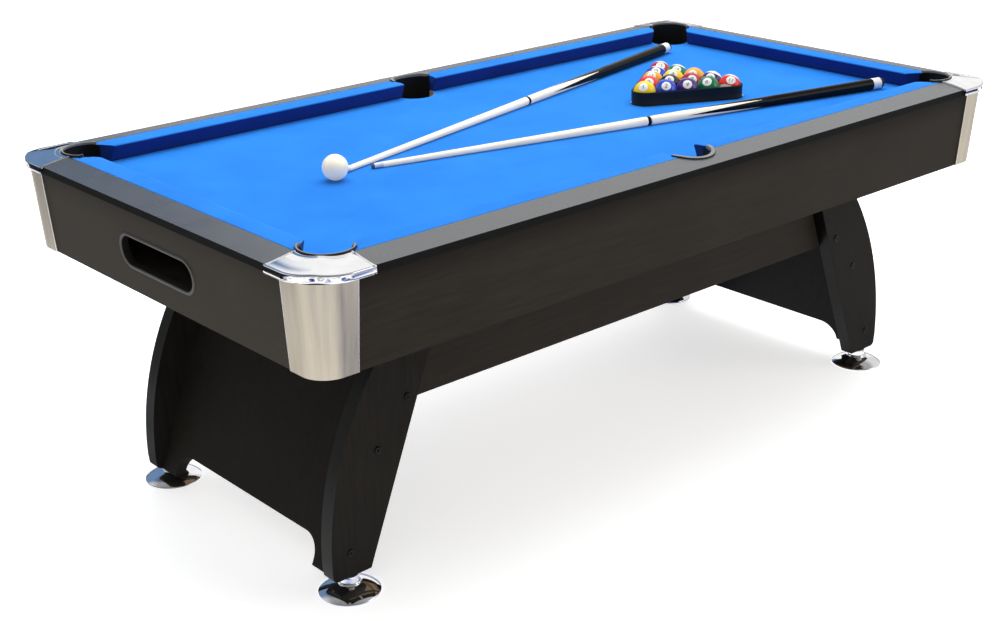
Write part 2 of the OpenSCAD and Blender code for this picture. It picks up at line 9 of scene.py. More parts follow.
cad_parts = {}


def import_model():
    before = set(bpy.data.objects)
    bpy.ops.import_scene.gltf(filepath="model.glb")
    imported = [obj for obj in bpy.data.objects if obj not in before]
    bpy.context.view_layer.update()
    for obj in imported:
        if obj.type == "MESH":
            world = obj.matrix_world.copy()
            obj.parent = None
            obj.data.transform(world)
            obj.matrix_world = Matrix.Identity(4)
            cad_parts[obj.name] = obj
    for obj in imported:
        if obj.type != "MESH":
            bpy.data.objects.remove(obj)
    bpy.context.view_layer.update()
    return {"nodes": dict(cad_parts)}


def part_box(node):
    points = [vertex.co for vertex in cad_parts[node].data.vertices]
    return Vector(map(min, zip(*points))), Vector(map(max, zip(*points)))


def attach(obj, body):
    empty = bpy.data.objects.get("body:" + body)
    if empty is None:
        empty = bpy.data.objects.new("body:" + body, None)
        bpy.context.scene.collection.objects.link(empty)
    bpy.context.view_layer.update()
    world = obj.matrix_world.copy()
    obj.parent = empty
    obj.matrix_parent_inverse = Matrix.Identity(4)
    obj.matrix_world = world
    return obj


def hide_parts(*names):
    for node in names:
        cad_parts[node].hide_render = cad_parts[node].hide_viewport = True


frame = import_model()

MM = 0.001
random.seed(7)


# ---- frame sizes
def low(node):
    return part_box(node)[0]


def high(node):
    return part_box(node)[1]


# Millimetres. Depths run inwards from the rails' outer edge
NOSE_DEPTH = 118.0
POCKET = 52.0
CORNER_LIP_R, SIDE_LIP_R = 57.6, 62.0
SIDE_SETBACK = 27.0
CUSHION_FOOT, CUSHION_H = 760.4, 39.0
FOOT_X, FOOT_Y = 868, 349.0
LEG_Y, LEG_T, LEG_FOOT = 367, 36, 42.0

# Metres
HALF_L = -low("rail_head")[0]
HALF_W = high("rail_left")[1]
BED_Z = high("bed_cloth")[2]
RAIL_Z = high("rail_head")[2]
RAIL_FOOT_Z = low("rail_head")[2] + 14.5 * MM
RAIL_W = 65 * MM
RAIL_FALL = 9.4 * MM
NOSE_X = HALF_L - NOSE_DEPTH * MM
NOSE_Y = HALF_W - NOSE_DEPTH * MM
SIDE_POCKET_Y = NOSE_Y + SIDE_SETBACK * MM
APRON_FOOT_Z = low("apron_left")[2]
APRON_TOP_Z = high("apron_left")[2]
APRON_IN = 9.8 * MM
APRON_LEAN = 13.8 * MM / (APRON_TOP_Z - APRON_FOOT_Z)
CORNER_R = 88 * MM
SIGNS = {"head_left": (-1, 1), "head_right": (-1, -1), "foot_left": (1, 1), "foot_right": (1, -1)}


def apron_face(z):
    return APRON_IN + (APRON_TOP_Z - z) * APRON_LEAN


def cosd(a):
    return cos(radians(a))


def sind(a):
    return sin(radians(a))


# ---- node helpers
def add_node(tree, kind, inputs=None, **props):
    n = tree.nodes.new("ShaderNode" + kind)
    for key, value in props.items():
        setattr(n, key, value)
    for key, value in (inputs or {}).items():
        if isinstance(value, bpy.types.NodeSocket):
            tree.links.new(value, n.inputs[key])
        else:
            n.inputs[key].default_value = value
    return n


def bsdf(m):
    return m.node_tree.nodes["Principled BSDF"]


def material(name, **sockets):
    m = bpy.data.materials.new(name)
    m.use_nodes = True
    for key, value in sockets.items():
        bsdf(m).inputs[key.replace("_", " ")].default_value = value
    return m


def set_in(m, **links):
    for key, value in links.items():
        m.node_tree.links.new(value, bsdf(m).inputs[key.replace("_", " ")])


def coords(tree, scale=(1, 1, 1), turn=0.0):
    """Object coordinates, stretched by scale along axes turned about Z."""
    place = add_node(tree, "TexCoord").outputs["Object"]
    inputs = {"Vector": place, "Scale": [1 / s for s in scale], "Rotation": (0, 0, turn)}
    return add_node(tree, "Mapping", inputs, vector_type="TEXTURE").outputs[0]


def noise(tree, vector, scale, detail):
    inputs = {"Vector": vector, "Scale": scale, "Detail": detail, "Roughness": 0.55}
    return add_node(tree, "TexNoise", inputs).outputs["Fac"]


def ramp(tree, fac, stops):
    n = add_node(tree, "ValToRGB", {"Fac": fac})
    cr = n.color_ramp
    while len(cr.elements) < len(stops):
        cr.elements.new(0.5)
    for element, (place, colour) in zip(cr.elements, stops):
        element.position = place
        element.color = (*colour, 1)
    return n.outputs["Color"]


def remap(tree, fac, lo, hi, a=0.3, b=0.7):
    """fac from a to b becomes lo to hi."""
    inputs = {"Value": fac, "From Min": a, "From Max": b, "To Min": lo, "To Max": hi}
    return add_node(tree, "MapRange", inputs).outputs[0]


def bump(tree, height, strength, distance):
    inputs = {"Height": height, "Strength": strength, "Distance": distance}
    return add_node(tree, "Bump", inputs).outputs[0]


def calc(tree, operation, a, b):
    return add_node(tree, "Math", {0: a, 1: b}, operation=operation).outputs[0]


def axis(tree, vector, name):
    return add_node(tree, "SeparateXYZ", {"Vector": vector}).outputs[name]


def scaled(tree, colour, by):
    return add_node(tree, "VectorMath", {0: colour, "Scale": by}, operation="SCALE").outputs[0]


def mixed(tree, a, b, factor=1.0, blend="MULTIPLY"):
    return add_node(tree, "Mix", {"Factor": factor, "A": a, "B": b},
                    data_type="RGBA", blend_type=blend).outputs["Result"]


def grey(v):
    return (v, v, v)


WHITE = grey(1)


# ---- kinds of material
def grainy(name, dark, light, stretch, scale, rough, bump_by, depth=0.0002, turn=0.0, **sockets):
    """Two colours mixed by noise stretched along one axis, with matching roughness and bump."""
    m = material(name, **sockets)
    t = m.node_tree
    fine = noise(t, coords(t, stretch, turn), scale, 6)
    broad = noise(t, coords(t), 5, 2)
    mix = calc(t, "ADD", fine, calc(t, "MULTIPLY", fine, broad))
    set_in(m, Base_Color=ramp(t, mix, [(0.45, dark), (1, light)]), Roughness=remap(t, fine, *rough),
           Normal=bump(t, fine, bump_by, depth))
    return m


def speckled(name, dark, light, scale, rough, bump_by=0.1, depth=0.0002, **sockets):
    m = material(name, **sockets)
    t = m.node_tree
    fine = noise(t, coords(t), scale, 4)
    broad = noise(t, coords(t), 9, 3)
    half = calc(t, "MULTIPLY", calc(t, "ADD", fine, broad), 0.5)
    set_in(m, Base_Color=ramp(t, half, [(0.35, dark), (0.65, light)]), Roughness=remap(t, broad, *rough),
           Normal=bump(t, fine, bump_by, depth))
    return m


def make_cloth():
    m = material("cloth_blue", Roughness=0.92, Sheen_Weight=0.1, Sheen_Roughness=0.5,
                 Sheen_Tint=(0.45, 0.7, 1, 1), Specular_IOR_Level=0.12)
    t = m.node_tree
    nap = noise(t, coords(t), 7, 3)
    fibre = noise(t, coords(t, (1, 1.35, 1)), 900, 3)
    weave = add_node(
        t, "TexWave",
        {"Vector": coords(t), "Scale": 330, "Distortion": 2.5, "Detail": 2, "Detail Scale": 3.0},
        wave_type="BANDS", bands_direction="DIAGONAL",
    ).outputs["Fac"]
    flat = ramp(t, calc(t, "MULTIPLY", calc(t, "ADD", nap, fibre), 0.5),
                [(0.33, (0.0095, 0.162, 0.6)), (0.68, (0.019, 0.222, 0.77))])
    # Painted shade: faces that tilt away from upright, such as the cushions' sloping faces, are darkened by
    # their normal
    up = axis(t, add_node(t, "NewGeometry").outputs["Normal"], "Z")
    painted_downward_shade = ramp(t, remap(t, up, 0, 1, 0, 0.9), [(0, (0.68, 0.19, 0.29)), (1, WHITE)])
    set_in(m, Base_Color=mixed(t, flat, painted_downward_shade), Normal=bump(t, calc(t, "ADD", fibre, weave), 0.25, 0.0003))
    return m


def dim(m, keep):
    """Scales a material's base colour by the socket keep."""
    colour = bsdf(m).inputs["Base Color"].links[0].from_socket
    set_in(m, Base_Color=scaled(m.node_tree, colour, keep))


def laminate(name, dark, light, stretch, rough, shade=None):
    """shade is how much of its lightness the board keeps right under the rail: a painted shadow of the
    rail's overhang.
    """
    m = grainy(name, dark, light, stretch, 26, rough, 0.12, depth=0.00015, Specular_IOR_Level=0.05)
    if shade:
        t = m.node_tree
        # Painted shadow: the board darkens towards the rail's foot
        z = axis(t, coords(t), "Z")
        dim(m, remap(t, z, 1, shade, RAIL_FOOT_Z - 55 * MM, RAIL_FOOT_Z - 5 * MM))
    return m


def blacken_inside(m, keep):
    """Painted shade: darkens nearly to black the legs' faces that look in under the table, where shade
    falls.
    """
    t = m.node_tree
    normal = add_node(t, "NewGeometry").outputs["Normal"]
    out = calc(t, "MULTIPLY", axis(t, normal, "X"), axis(t, coords(t), "X"))
    dim(m, remap(t, out, keep, 1, -0.45, -0.25))


def metal(name, dark, light, stretch, scale, rough, bump_by, **sockets):
    return grainy(name, dark, light, stretch, scale, rough, bump_by, depth=0.0001, Metallic=1, **sockets)


def resin(name, colour, **sockets):
    deep = tuple(c * 0.82 for c in colour)
    return speckled(name, deep, colour, 60, (0.05, 0.09), 0.004, Coat_Weight=0.2,
                    Coat_Roughness=0.03, **sockets)


def wood(name, dark, light, turn, **sockets):
    return grainy(name, dark, light, (0.35, 9, 9), 22, (0.18, 0.28), 0.04, turn=turn, Coat_Weight=0.4,
                  Coat_Roughness=0.08, **sockets)


# ---- materials
CLOTH = make_cloth()
RAIL_TOP = speckled(
    "rail_grey_laminate", (0.056, 0.058, 0.06), (0.069, 0.072, 0.075), 420, (0.24, 0.31), 0.06,
    Specular_IOR_Level=0.95)
RAIL_EDGE = speckled(
    "rail_black_edge", (0.006, 0.0062, 0.0062), (0.01, 0.0103, 0.0103), 300, (0.5, 0.62),
    Specular_IOR_Level=0.05)
# Painted light and shade: the aprons are one laminate, and the end aprons' copy is painted lighter than the
# long aprons', as the light falls on them. The last number is each copy's painted shadow under the rail
LAM_X_SHADED = laminate(
    "laminate_grain_x_shaded", (0.024, 0.0195, 0.0152), (0.032, 0.0268, 0.0215), (0.35, 6, 6), (0.42, 0.56), 0.55)
LAM_Y_LIT = laminate(
    "laminate_grain_y_lit", (0.041, 0.0353, 0.027), (0.053, 0.046, 0.0362), (6, 0.35, 6), (0.42, 0.56), 0.8)
LAM_Z = laminate(
    "laminate_grain_z", (0.014, 0.0118, 0.0098), (0.0205, 0.0176, 0.0148), (6, 6, 0.35), (0.45, 0.6))
# painted shade on the legs' inward faces
blacken_inside(LAM_Z, 0.15)
LAM_EDGE = speckled(
    "laminate_edge_band", (0.0125, 0.0125, 0.0117), (0.019, 0.0186, 0.0177), 200, (0.34, 0.44),
    Specular_IOR_Level=0.1)
# painted shade on the legs' inward edges
blacken_inside(LAM_EDGE, 0.12)
BLACK = speckled(
    "moulded_black", grey(0.0065), grey(0.012), 700, (0.42, 0.58), 0.2,
    Specular_IOR_Level=0.25)
LIP_TOP = speckled(
    "moulded_lip_top", (0.17, 0.168, 0.156), (0.23, 0.228, 0.212), 700, (0.3, 0.4), 0.15)
LIP_SIDE = speckled(
    "moulded_lip_side", grey(0.016), (0.026, 0.025, 0.024), 700, (0.35, 0.45), 0.15,
    Specular_IOR_Level=0.25)
TRIM = speckled("return_trim_grey", (0.052, 0.05, 0.045), (0.074, 0.071, 0.064), 500, (0.35, 0.45))
BOARD = speckled("raw_board", (0.3, 0.2, 0.11), (0.46, 0.33, 0.2), 180, (0.8, 0.95), 0.5, 0.0006)
INK = speckled("number_ink", grey(0.008), grey(0.02), 900, (0.12, 0.2), 0.02)
LACQUER = speckled(
    "black_lacquer", grey(0.004), (0.008, 0.007, 0.007), 120, (0.08, 0.13), 0.01,
    Specular_IOR_Level=0.12)
LEATHER = speckled("tip_leather", (0.05, 0.1, 0.16), (0.12, 0.17, 0.22), 900, (0.85, 0.95), 0.6)
RUBBER = speckled("bumper_rubber", grey(0.01), grey(0.02), 600, (0.7, 0.85), 0.3)
WRAP = metal(
    "satin_silver", (0.55, 0.487, 0.387), (0.655, 0.588, 0.473), (7, 7, 0.12), 12, (0.3, 0.42), 0.08,
    Anisotropic=0.5)
WRAP_EDGE = metal(
    "polished_edge", (0.66, 0.64, 0.59), (0.8, 0.78, 0.73), (1, 1, 1), 200, (0.14, 0.2), 0.02)
CHROME = metal(
    "bright_chrome", (0.8, 0.8, 0.81), (0.9, 0.9, 0.91), (1, 1, 1), 25, (0.035, 0.075), 0.01)
STEEL = metal(
    "dark_bolt_steel", grey(0.011), grey(0.024), (1, 1, 1), 300, (0.3, 0.4), 0.05)
BRASS = metal("insert_brass", (0.55, 0.37, 0.12), (0.72, 0.52, 0.22), (1, 1, 1), 300, (0.25, 0.4), 0.05)
# Painted light: a faint warm glow lightens the pale resin, most of all on its shaded underside, in place of
# the light that goes through it
IVORY = resin("ivory_resin", (1, 0.94, 0.76), Emission_Color=(1, 0.86, 0.58, 1), Emission_Strength=0.26)
WHITE_RESIN = resin("white_resin", (0.92, 0.91, 0.86))


# ---- mesh helpers
def new_object(name, data):
    o = bpy.data.objects.new(name, data)
    bpy.context.scene.collection.objects.link(o)
    return o


def to_object(name, bm, mats):
    me = bpy.data.meshes.new(name)
    bm.to_mesh(me)
    bm.free()
    for m in mats:
        me.materials.append(m)
    me.shade_smooth()
    return new_object(name, me)


def finish_mesh(name, bm, mats, sharp, flats=False):
    bmesh.ops.remove_doubles(bm, verts=bm.verts, dist=1e-6)
    bmesh.ops.recalc_face_normals(bm, faces=bm.faces)
    o = to_object(name, bm, mats)
    o.data.set_sharp_from_angle(angle=radians(sharp))
    if flats:
        mod = o.modifiers.new("flat_faces", "WEIGHTED_NORMAL")
        mod.keep_sharp = True
        mod.weight = 100
    return o


def stands_for(o, node, body="table"):
    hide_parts(node)
    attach(o, body)


def piece(name, bm, mats, sharp, node, body="table", flats=False):
    o = finish_mesh(name, bm, mats, sharp, flats)
    stands_for(o, node, body)
    return o


def thicken(o, name, thickness):
    solid = o.modifiers.new(name, "SOLIDIFY")
    solid.thickness = thickness
    solid.offset = -1


def grid(bm, rows, close_rows=False, closed=False, mat=0):
    """Quads between rows of points. mat is an index or a function of (row, column)."""
    made = [[bm.verts.new(p) for p in row] for row in rows]
    n, k = len(made), len(made[0])
    for i in range(n if close_rows else n - 1):
        for j in range(k if closed else k - 1):
            a, b = made[i], made[(i + 1) % n]
            f = bm.faces.new((a[j], a[(j + 1) % k], b[(j + 1) % k], b[j]))
            f.material_index = mat(i, j) if callable(mat) else mat
    return made


def circle(n):
    """The cosine and sine of n even steps of a full turn."""
    return [(cos(2 * pi * k / n), sin(2 * pi * k / n)) for k in range(n)]


def lathe(bm, profile, segments, x, y):
    """profile is (radius, z) along an upright axis at x, y, all in mm."""
    rows = [[((x + r * c) * MM, (y + r * s) * MM, z * MM) for c, s in circle(segments)] for r, z in profile]
    return grid(bm, rows, closed=True)


def plate(bm, loop, place, depth, bevel, segments, side_mat=0):
    """A flat plate of outline loop; place(u, v, w) gives its points, w from 0 to depth."""
    back = [bm.verts.new(place(u, v, 0)) for u, v in loop]
    front = [bm.verts.new(place(u, v, depth)) for u, v in loop]
    n = len(loop)
    faces = [bm.faces.new(back), bm.faces.new(front)]
    for k in range(n):
        f = bm.faces.new((back[k], back[(k + 1) % n], front[(k + 1) % n], front[k]))
        f.material_index = side_mat
    edges = [e for f in faces for e in f.edges]
    bmesh.ops.bevel(bm, geom=edges, offset=bevel, segments=segments, profile=0.5, affect="EDGES",
                    clamp_overlap=True, material=side_mat)


def arc(cx, cy, r, a0, a1, n):
    angles = [a0 + (a1 - a0) * k / n for k in range(n + 1)]
    return [(cx + r * cosd(a), cy + r * sind(a)) for a in angles]


# ---- camera
YAW, PITCH, ROLL = 0.84521, 0.3764, -0.01314
CAMERA_AT = (-2.5198, -2.6933, 1.7469)


def make_camera():
    fwd = Vector((cos(YAW) * cos(PITCH), sin(YAW) * cos(PITCH), -sin(PITCH)))
    level = Vector((sin(YAW), -cos(YAW), 0))
    upright = level.cross(fwd)
    right = cos(ROLL) * level + sin(ROLL) * upright
    up = -sin(ROLL) * level + cos(ROLL) * upright
    cam = bpy.data.cameras.new("camera")
    cam.lens = 56.96
    cam.sensor_width = 36
    o = new_object("camera", cam)
    o.matrix_world = Matrix.Translation(CAMERA_AT) @ Matrix((right, up, -fwd)).transposed().to_4x4()
    bpy.context.scene.camera = o


make_camera()


# ---- stage and light
def make_stage():
    bm = bmesh.new()
    size = 40
    grid(bm, [[(-size, -size, 0), (size, -size, 0)], [(-size, size, 0), (size, size, 0)]])
    m = speckled("studio_floor", grey(0.86), grey(0.88), 8, (0.85, 0.95), 0,
                 Emission_Color=(1, 1, 1, 1))
    # Polished metal sees a floor with dark and blue things on it, as in a furnished room
    t = m.node_tree
    at = coords(t)
    room = ramp(t, noise(t, at, 1.1, 1.5), [
        (0.36, (0.03, 0.03, 0.035)), (0.41, (0.08, 0.15, 0.42)), (0.45, grey(0.95)),
        (0.57, WHITE), (0.61, (0.14, 0.14, 0.15)), (0.66, (0.8, 0.8, 0.82))])
    beyond = remap(t, axis(t, at, "X"), 0.02, 1, -2.15, -1.95)
    before = remap(t, axis(t, at, "Y"), 1, 0, 0.5, 1)
    seen = scaled(t, room, calc(t, "MAXIMUM", beyond, before))
    mirrored = add_node(t, "Emission", {"Color": seen, "Strength": 1.3})
    # The floor glows a little more to the camera than to the table
    ray = add_node(t, "LightPath").outputs
    set_in(m, Emission_Strength=remap(t, ray["Is Camera Ray"], 0.4, 0.6, 0, 1))
    both = add_node(t, "MixShader", {
        0: ray["Is Glossy Ray"], 1: bsdf(m).outputs[0], 2: mirrored.outputs[0]})
    t.links.new(both.outputs[0], t.nodes["Material Output"].inputs["Surface"])
    finish_mesh("studio_floor", bm, [m], 35)


def area_light(name, at, aim, size, power, mirrored=True):
    light = bpy.data.lights.new(name, "AREA")
    light.shape = "RECTANGLE"
    light.size, light.size_y = size
    light.energy = power
    o = new_object(name, light)
    o.location = at
    o.rotation_euler = (Vector(aim) - Vector(at)).to_track_quat("-Z", "Y").to_euler()
    o.visible_glossy = mirrored


def make_world():
    world = bpy.data.worlds.new("studio")
    world.use_nodes = True
    t = world.node_tree
    way = add_node(t, "TexCoord").outputs["Generated"]
    azimuth = calc(t, "ARCTAN2", axis(t, way, "Y"), axis(t, way, "X"))
    # A cooler, darker part of the studio beyond the table's far left corner
    blue = (0.15, 0.25, 0.43)
    cool = ramp(t, remap(t, azimuth, 0, 1, radians(20), radians(120)), [
        (0, grey(0.77)), (0.05, WHITE), (0.423, WHITE), (0.447, blue), (0.85, blue),
        (1, grey(0.7))])
    height = ramp(t, remap(t, axis(t, way, "Z"), 0, 1, 0, 1), [
        (0, (0.09, 0.09, 0.1)), (0.05, (0.12, 0.12, 0.13)), (0.13, WHITE), (0.62, WHITE),
        (0.8, grey(0.5))])
    # The near side of the studio is dimmer than the far side
    towards = add_node(t, "VectorMath", {0: way, 1: (-0.66, -0.75, 0)},
                       operation="DOT_PRODUCT").outputs["Value"]
    front = ramp(t, remap(t, towards, 0, 1, -0.1, 0.6), [(0, WHITE), (1, (0.29, 0.28, 0.265))])
    lit = mixed(t, mixed(t, cool, height), front)
    # The camera sees a plain pale backdrop
    camera = add_node(t, "LightPath").outputs["Is Camera Ray"]
    bg = t.nodes["Background"]
    t.links.new(mixed(t, lit, (0.962, 0.962, 0.962, 1), camera, "MIX"), bg.inputs["Color"])
    bg.inputs["Strength"].default_value = 1.04
    bpy.context.scene.world = world


make_stage()
make_world()
area_light("key", (-3.5, -3, 4.5), (0, 0, 0.6), (4, 3), 50, mirrored=False)
area_light("top", (0.8, 1, 5), (0, 0, 0.6), (6, 5), 345, mirrored=False)
area_light("side", (3.5, -4.5, 3), (0, 0, 0.5), (3, 3), 45)
bpy.context.scene.view_settings.view_transform = "Standard"


# ---- places shared by the pieces
# Each pocket's centre (m), and the way its mouth faces (degrees)
POCKETS = {
    f"pocket_{corner}": (sx * NOSE_X, sy * NOSE_Y, -sy * (90 + 45 * sx))
    for corner, (sx, sy) in SIGNS.items()
}
POCKETS["pocket_side_left"] = (0, SIDE_POCKET_Y, -90)
POCKETS["pocket_side_right"] = (0, -SIDE_POCKET_Y, 90)


def side_point(side, d, along, z):
    """A point at depth d in from the rail's outer edge; along is X on the long sides and Y on the ends."""
    if side in ("head", "foot"):
        return (d - HALF_L if side == "head" else HALF_L - d, along, z)
    return (along, HALF_W - d if side == "left" else d - HALF_W, z)


def dress(node, mat, bevel):
    """A better material, and softened edges, for a CAD node that stays."""
    o = frame["nodes"][node]
    for s in o.material_slots:
        s.link = "OBJECT"
        s.material = mat
    if bevel:
        mod = o.modifiers.new("soft_edges", "BEVEL")
        mod.width = bevel
        mod.segments = 2
        mod.limit_method = "ANGLE"
        mod.angle_limit = radians(50)
        mod.use_clamp_overlap = True


# ---- bed cloth
# The cloth's edge goes over into a pocket: distance outside the hole's edge, and height (mm)
TUCK = [(3, 0), (1.6, -0.4), (0.6, -1.3), (0.1, -3), (0.1, -13)]


def make_bed_cloth():
    x1, y1, _ = high("bed_cloth")
    r, margin, step = 40 * MM, 20 * MM, 55 * MM
    outer = []
    for sx, sy, a in ((1, 1, 0), (-1, 1, 90), (-1, -1, 180), (1, -1, 270)):
        outer += arc(sx * (x1 - r), sy * (y1 - r), r, a, a + 90, 8)
    tuck_r, back_r = (POCKET + TUCK[0][0]) * MM, SIDE_LIP_R * MM
    loops = [outer]
    for cx, cy, face in POCKETS.values():
        loops.append(arc(cx, cy, tuck_r, face - 90, face + 90, 36)
                     + arc(cx, cy, back_r, face + 92, face + 268, 24))
    pts, edges = [], []
    for loop in loops:
        start = len(pts)
        pts += [Vector(p) for p in loop]
        edges += [(start + k, start + (k + 1) % len(loop)) for k in range(len(loop))]
    for i in range(-20, 21):
        for j in range(-10, 11):
            p = Vector((i * step, j * step))
            clear = all((p - Vector(c[:2])).length > 85 * MM for c in POCKETS.values())
            if clear and abs(p.x) < x1 - margin and abs(p.y) < y1 - margin:
                pts.append(p)
    flat, _, faces, *_ = delaunay_2d_cdt(pts, edges, [], 0, 1e-7)
    bm = bmesh.new()
    verts = [bm.verts.new((p.x, p.y, BED_Z)) for p in flat]
    for f in faces:
        mid = sum((flat[k] for k in f), Vector((0, 0))) / 3
        keep = abs(mid.x) < x1 and abs(mid.y) < y1
        for cx, cy, face in POCKETS.values():
            local = mid - Vector((cx, cy))
            towards = local.x * cosd(face) + local.y * sind(face)
            keep = keep and local.length > (tuck_r if towards > 0 else back_r) * 0.998
        corner = Vector((max(abs(mid.x) - (x1 - r), 0), max(abs(mid.y) - (y1 - r), 0)))
        if keep and corner.length < r:
            bm.faces.new([verts[k] for k in f])
    for cx, cy, face in POCKETS.values():
        rims = [arc(cx, cy, (POCKET + off) * MM, face - 90, face + 90, 36) for off, _ in TUCK]
        grid(bm, [[(x, y, BED_Z + z * MM) for x, y in rim] for rim, (_, z) in zip(rims, TUCK)])
    bmesh.ops.delete(bm, geom=[v for v in bm.verts if not v.link_faces], context="VERTS")
    o = piece("playing_cloth", bm, [CLOTH], 60, "bed_cloth")
    thicken(o, "thickness", 0.9 * MM)


# ---- cushions
# Section through a cushion: depth from the rail's outer edge, and height (mm)
CUSHION_PROFILE = [
    (65.7, 796.5), (65.9, 798.2), (66.8, 799.1), (68.5, 799.4), (104, 799.35), (110, 799.1), (114, 798.6),
    (116.4, 797.8), (117.6, 796.7), (NOSE_DEPTH, 795.3), (117.8, 793.8), (117, 792), (114.8, 787),
    (112, 780), (109.4, 772), (107.6, 766), (106.8, 761.2), (106, CUSHION_FOOT), (66, CUSHION_FOOT),
]
# The jaws of a corner pocket are cut at 45 degrees: their reach at the nose, their depth and their lean
JAW_REACH, JAW_DEPTH, JAW_LEAN = 73.5, 36.8, 4.5


def corner_end(t):
    """How far a cushion's end stands from a corner pocket's centre, at depth t behind its nose."""
    if t <= JAW_DEPTH:
        return JAW_REACH - t
    return t if t <= CORNER_LIP_R / sqrt(2) else sqrt(max(CORNER_LIP_R ** 2 - t * t, 0))


def end_lean(z):
    """How far a corner pocket's jaws lean in over its mouth at height z, across the mouth."""
    return JAW_LEAN * (z - CUSHION_FOOT) / CUSHION_H


def side_end(t):
    """The same as corner_end, at a side pocket."""
    return POCKET if t <= SIDE_SETBACK else sqrt(SIDE_LIP_R ** 2 - (t - SIDE_SETBACK) ** 2)


def make_cushion(name, side, a, a_end, b, b_end):
    """A cushion between two pocket centres; a and b are their places along the side."""
    mid_d, mid_z = (sum(v) / len(v) for v in zip(*CUSHION_PROFILE))
    # each end is a little smaller than the rest, with its edge turned over
    folds = [(0, 0.94), (0.35, 0.98), (1.3, 1)]

    def section(off, shrink, frac):
        """The section at frac of the way from one end, which is off inside its cut."""
        pts = []
        for d, z in CUSHION_PROFILE:
            dd, zz = mid_d + (d - mid_d) * shrink, mid_z + (z - mid_z) * shrink
            t = NOSE_DEPTH - dd
            lean = end_lean(zz) * sqrt(2) * min(max((48 - t) / 8, 0), 1)
            start, stop = (
                (end(t) + off - (lean if end is corner_end else 0)) * MM for end in (a_end, b_end))
            along = a + start + (b - stop - a - start) * frac
            pts.append(side_point(side, dd * MM, along, zz * MM))
        return pts

    n = max(int((b - a) / MM / 60), 8)
    rows = [section(off, shrink, 0) for off, shrink in folds]
    rows += [section(3, 1, k / n) for k in range(1, n)]
    rows += [section(off, shrink, 1) for off, shrink in reversed(folds)]
    bm = bmesh.new()
    made = grid(bm, rows, closed=True)
    bm.faces.new(made[0])
    bm.faces.new(made[-1])
    o = piece(name + "_cover", bm, [CLOTH], 42, name)


def make_cushions():
    for side in ("head", "foot"):
        make_cushion("cushion_" + side, side, -NOSE_Y, corner_end, NOSE_Y, corner_end)
    for side in ("left", "right"):
        make_cushion(f"cushion_{side}_head", side, -NOSE_X, corner_end, 0, side_end)
        make_cushion(f"cushion_{side}_foot", side, 0, side_end, NOSE_X, corner_end)


# ---- rails
def make_rail(side):
    h = (HALF_W if side in ("head", "foot") else HALF_L) / MM
    w, r = RAIL_W / MM, CORNER_R / MM

    def bite(u, v, lip_r, n):
        """The round that a pocket's lip takes out of the rail's inner edge."""
        turn = degrees(acos((w - u) / lip_r))
        return arc(u, v, lip_r, turn, 360 - turn, n)

    # outer edge, from the low end to the high end, with its corners rounded up to the mitre
    loop = arc(r, -(h - r), r, -135, -180, 10) + arc(r, h - r, r, 180, 135, 10) + [(w, h - w)]
    loop += bite(NOSE_DEPTH, h - NOSE_DEPTH, CORNER_LIP_R, 10)
    if side in ("left", "right"):
        loop += bite(NOSE_DEPTH - SIDE_SETBACK, 0, SIDE_LIP_R, 28)
    loop += bite(NOSE_DEPTH, NOSE_DEPTH - h, CORNER_LIP_R, 10) + [(w, -(h - w))]

    def place(u, v, lift):
        top = RAIL_Z - RAIL_FALL * (w - u) / w
        return side_point(side, u * MM, v * MM, RAIL_FOOT_Z if lift == 0 else top)

    bm = bmesh.new()
    plate(bm, loop, place, 1, bevel=1.8 * MM, segments=3, side_mat=1)
    for f in bm.faces:
        f.normal_update()
        if abs(f.normal.z) > 0.35 and f.calc_center_median().z > RAIL_FOOT_Z + 6 * MM:
            f.material_index = 0
    piece(f"rail_{side}_board", bm, [RAIL_TOP, RAIL_EDGE], 30, f"rail_{side}", flats=True)


# ---- corner wraps
def make_wrap(corner):
    sx, sy = SIGNS[corner]
    centre, sheet, proud, levels = 75, 3.3, 3.5, 9
    arm_steps, arc_steps = 4, 28
    # an end's rolled edge: distance back from the end, and lift
    bead = [(0, -sheet), (0, 0), (0.2, 0.35), (0.8, 0.5), (1.4, 0.35), (1.6, 0), (1.9, 0)]
    bead_w = bead[-1][0]
    rows = []
    for k in range(levels):
        f = k / (levels - 1)
        z = APRON_FOOT_Z / MM + 0.2 + (APRON_TOP_Z - APRON_FOOT_Z) / MM * f - 0.4 * f
        e = apron_face(z * MM) / MM - proud
        end_reach, side_reach = 113.0 - 4.0 * f, 109.0 - f
        end_arm, side_arm = (
            [reach - bead_w - (reach - bead_w - centre) * i / arm_steps for i in range(1, arm_steps)]
            for reach in (end_reach, side_reach))
        pts = [(e - lift, end_reach - s) for s, lift in bead] + [(e, v) for v in end_arm]
        pts += arc(centre, centre, centre - e, 180, 270, arc_steps)
        pts += [(u, e) for u in reversed(side_arm)]
        pts += [(side_reach - s, e - lift) for s, lift in reversed(bead)]
        # back of the shell
        pts.append((side_reach, e + sheet))
        pts += arc(centre, centre, centre - e - sheet, 270, 180, arc_steps)
        rows.append([(sx * (HALF_L - u * MM), sy * (HALF_W - v * MM), z * MM) for u, v in pts])
    second = len(bead) + 2 * (arm_steps - 1) + arc_steps + 1
    polished = {*range(len(bead) - 1), *range(second, second + len(bead))}
    bm = bmesh.new()
    made = grid(bm, rows, closed=True, mat=lambda i, j: int(j in polished))
    for row in (made[0], made[-1]):
        bm.faces.new(row)
    bmesh.ops.triangulate(bm, faces=[f for f in bm.faces if len(f.verts) > 4])
    node = f"corner_wrap_{corner}"
    piece(node + "_shell", bm, [WRAP, WRAP_EDGE], 40, node)


# ---- corner caps
CAP_OVER, CAP_REACH, CAP_T, CAP_SKIRT = 7, 138, 3, 16.6
CAP_RIM = CORNER_LIP_R + 0.2
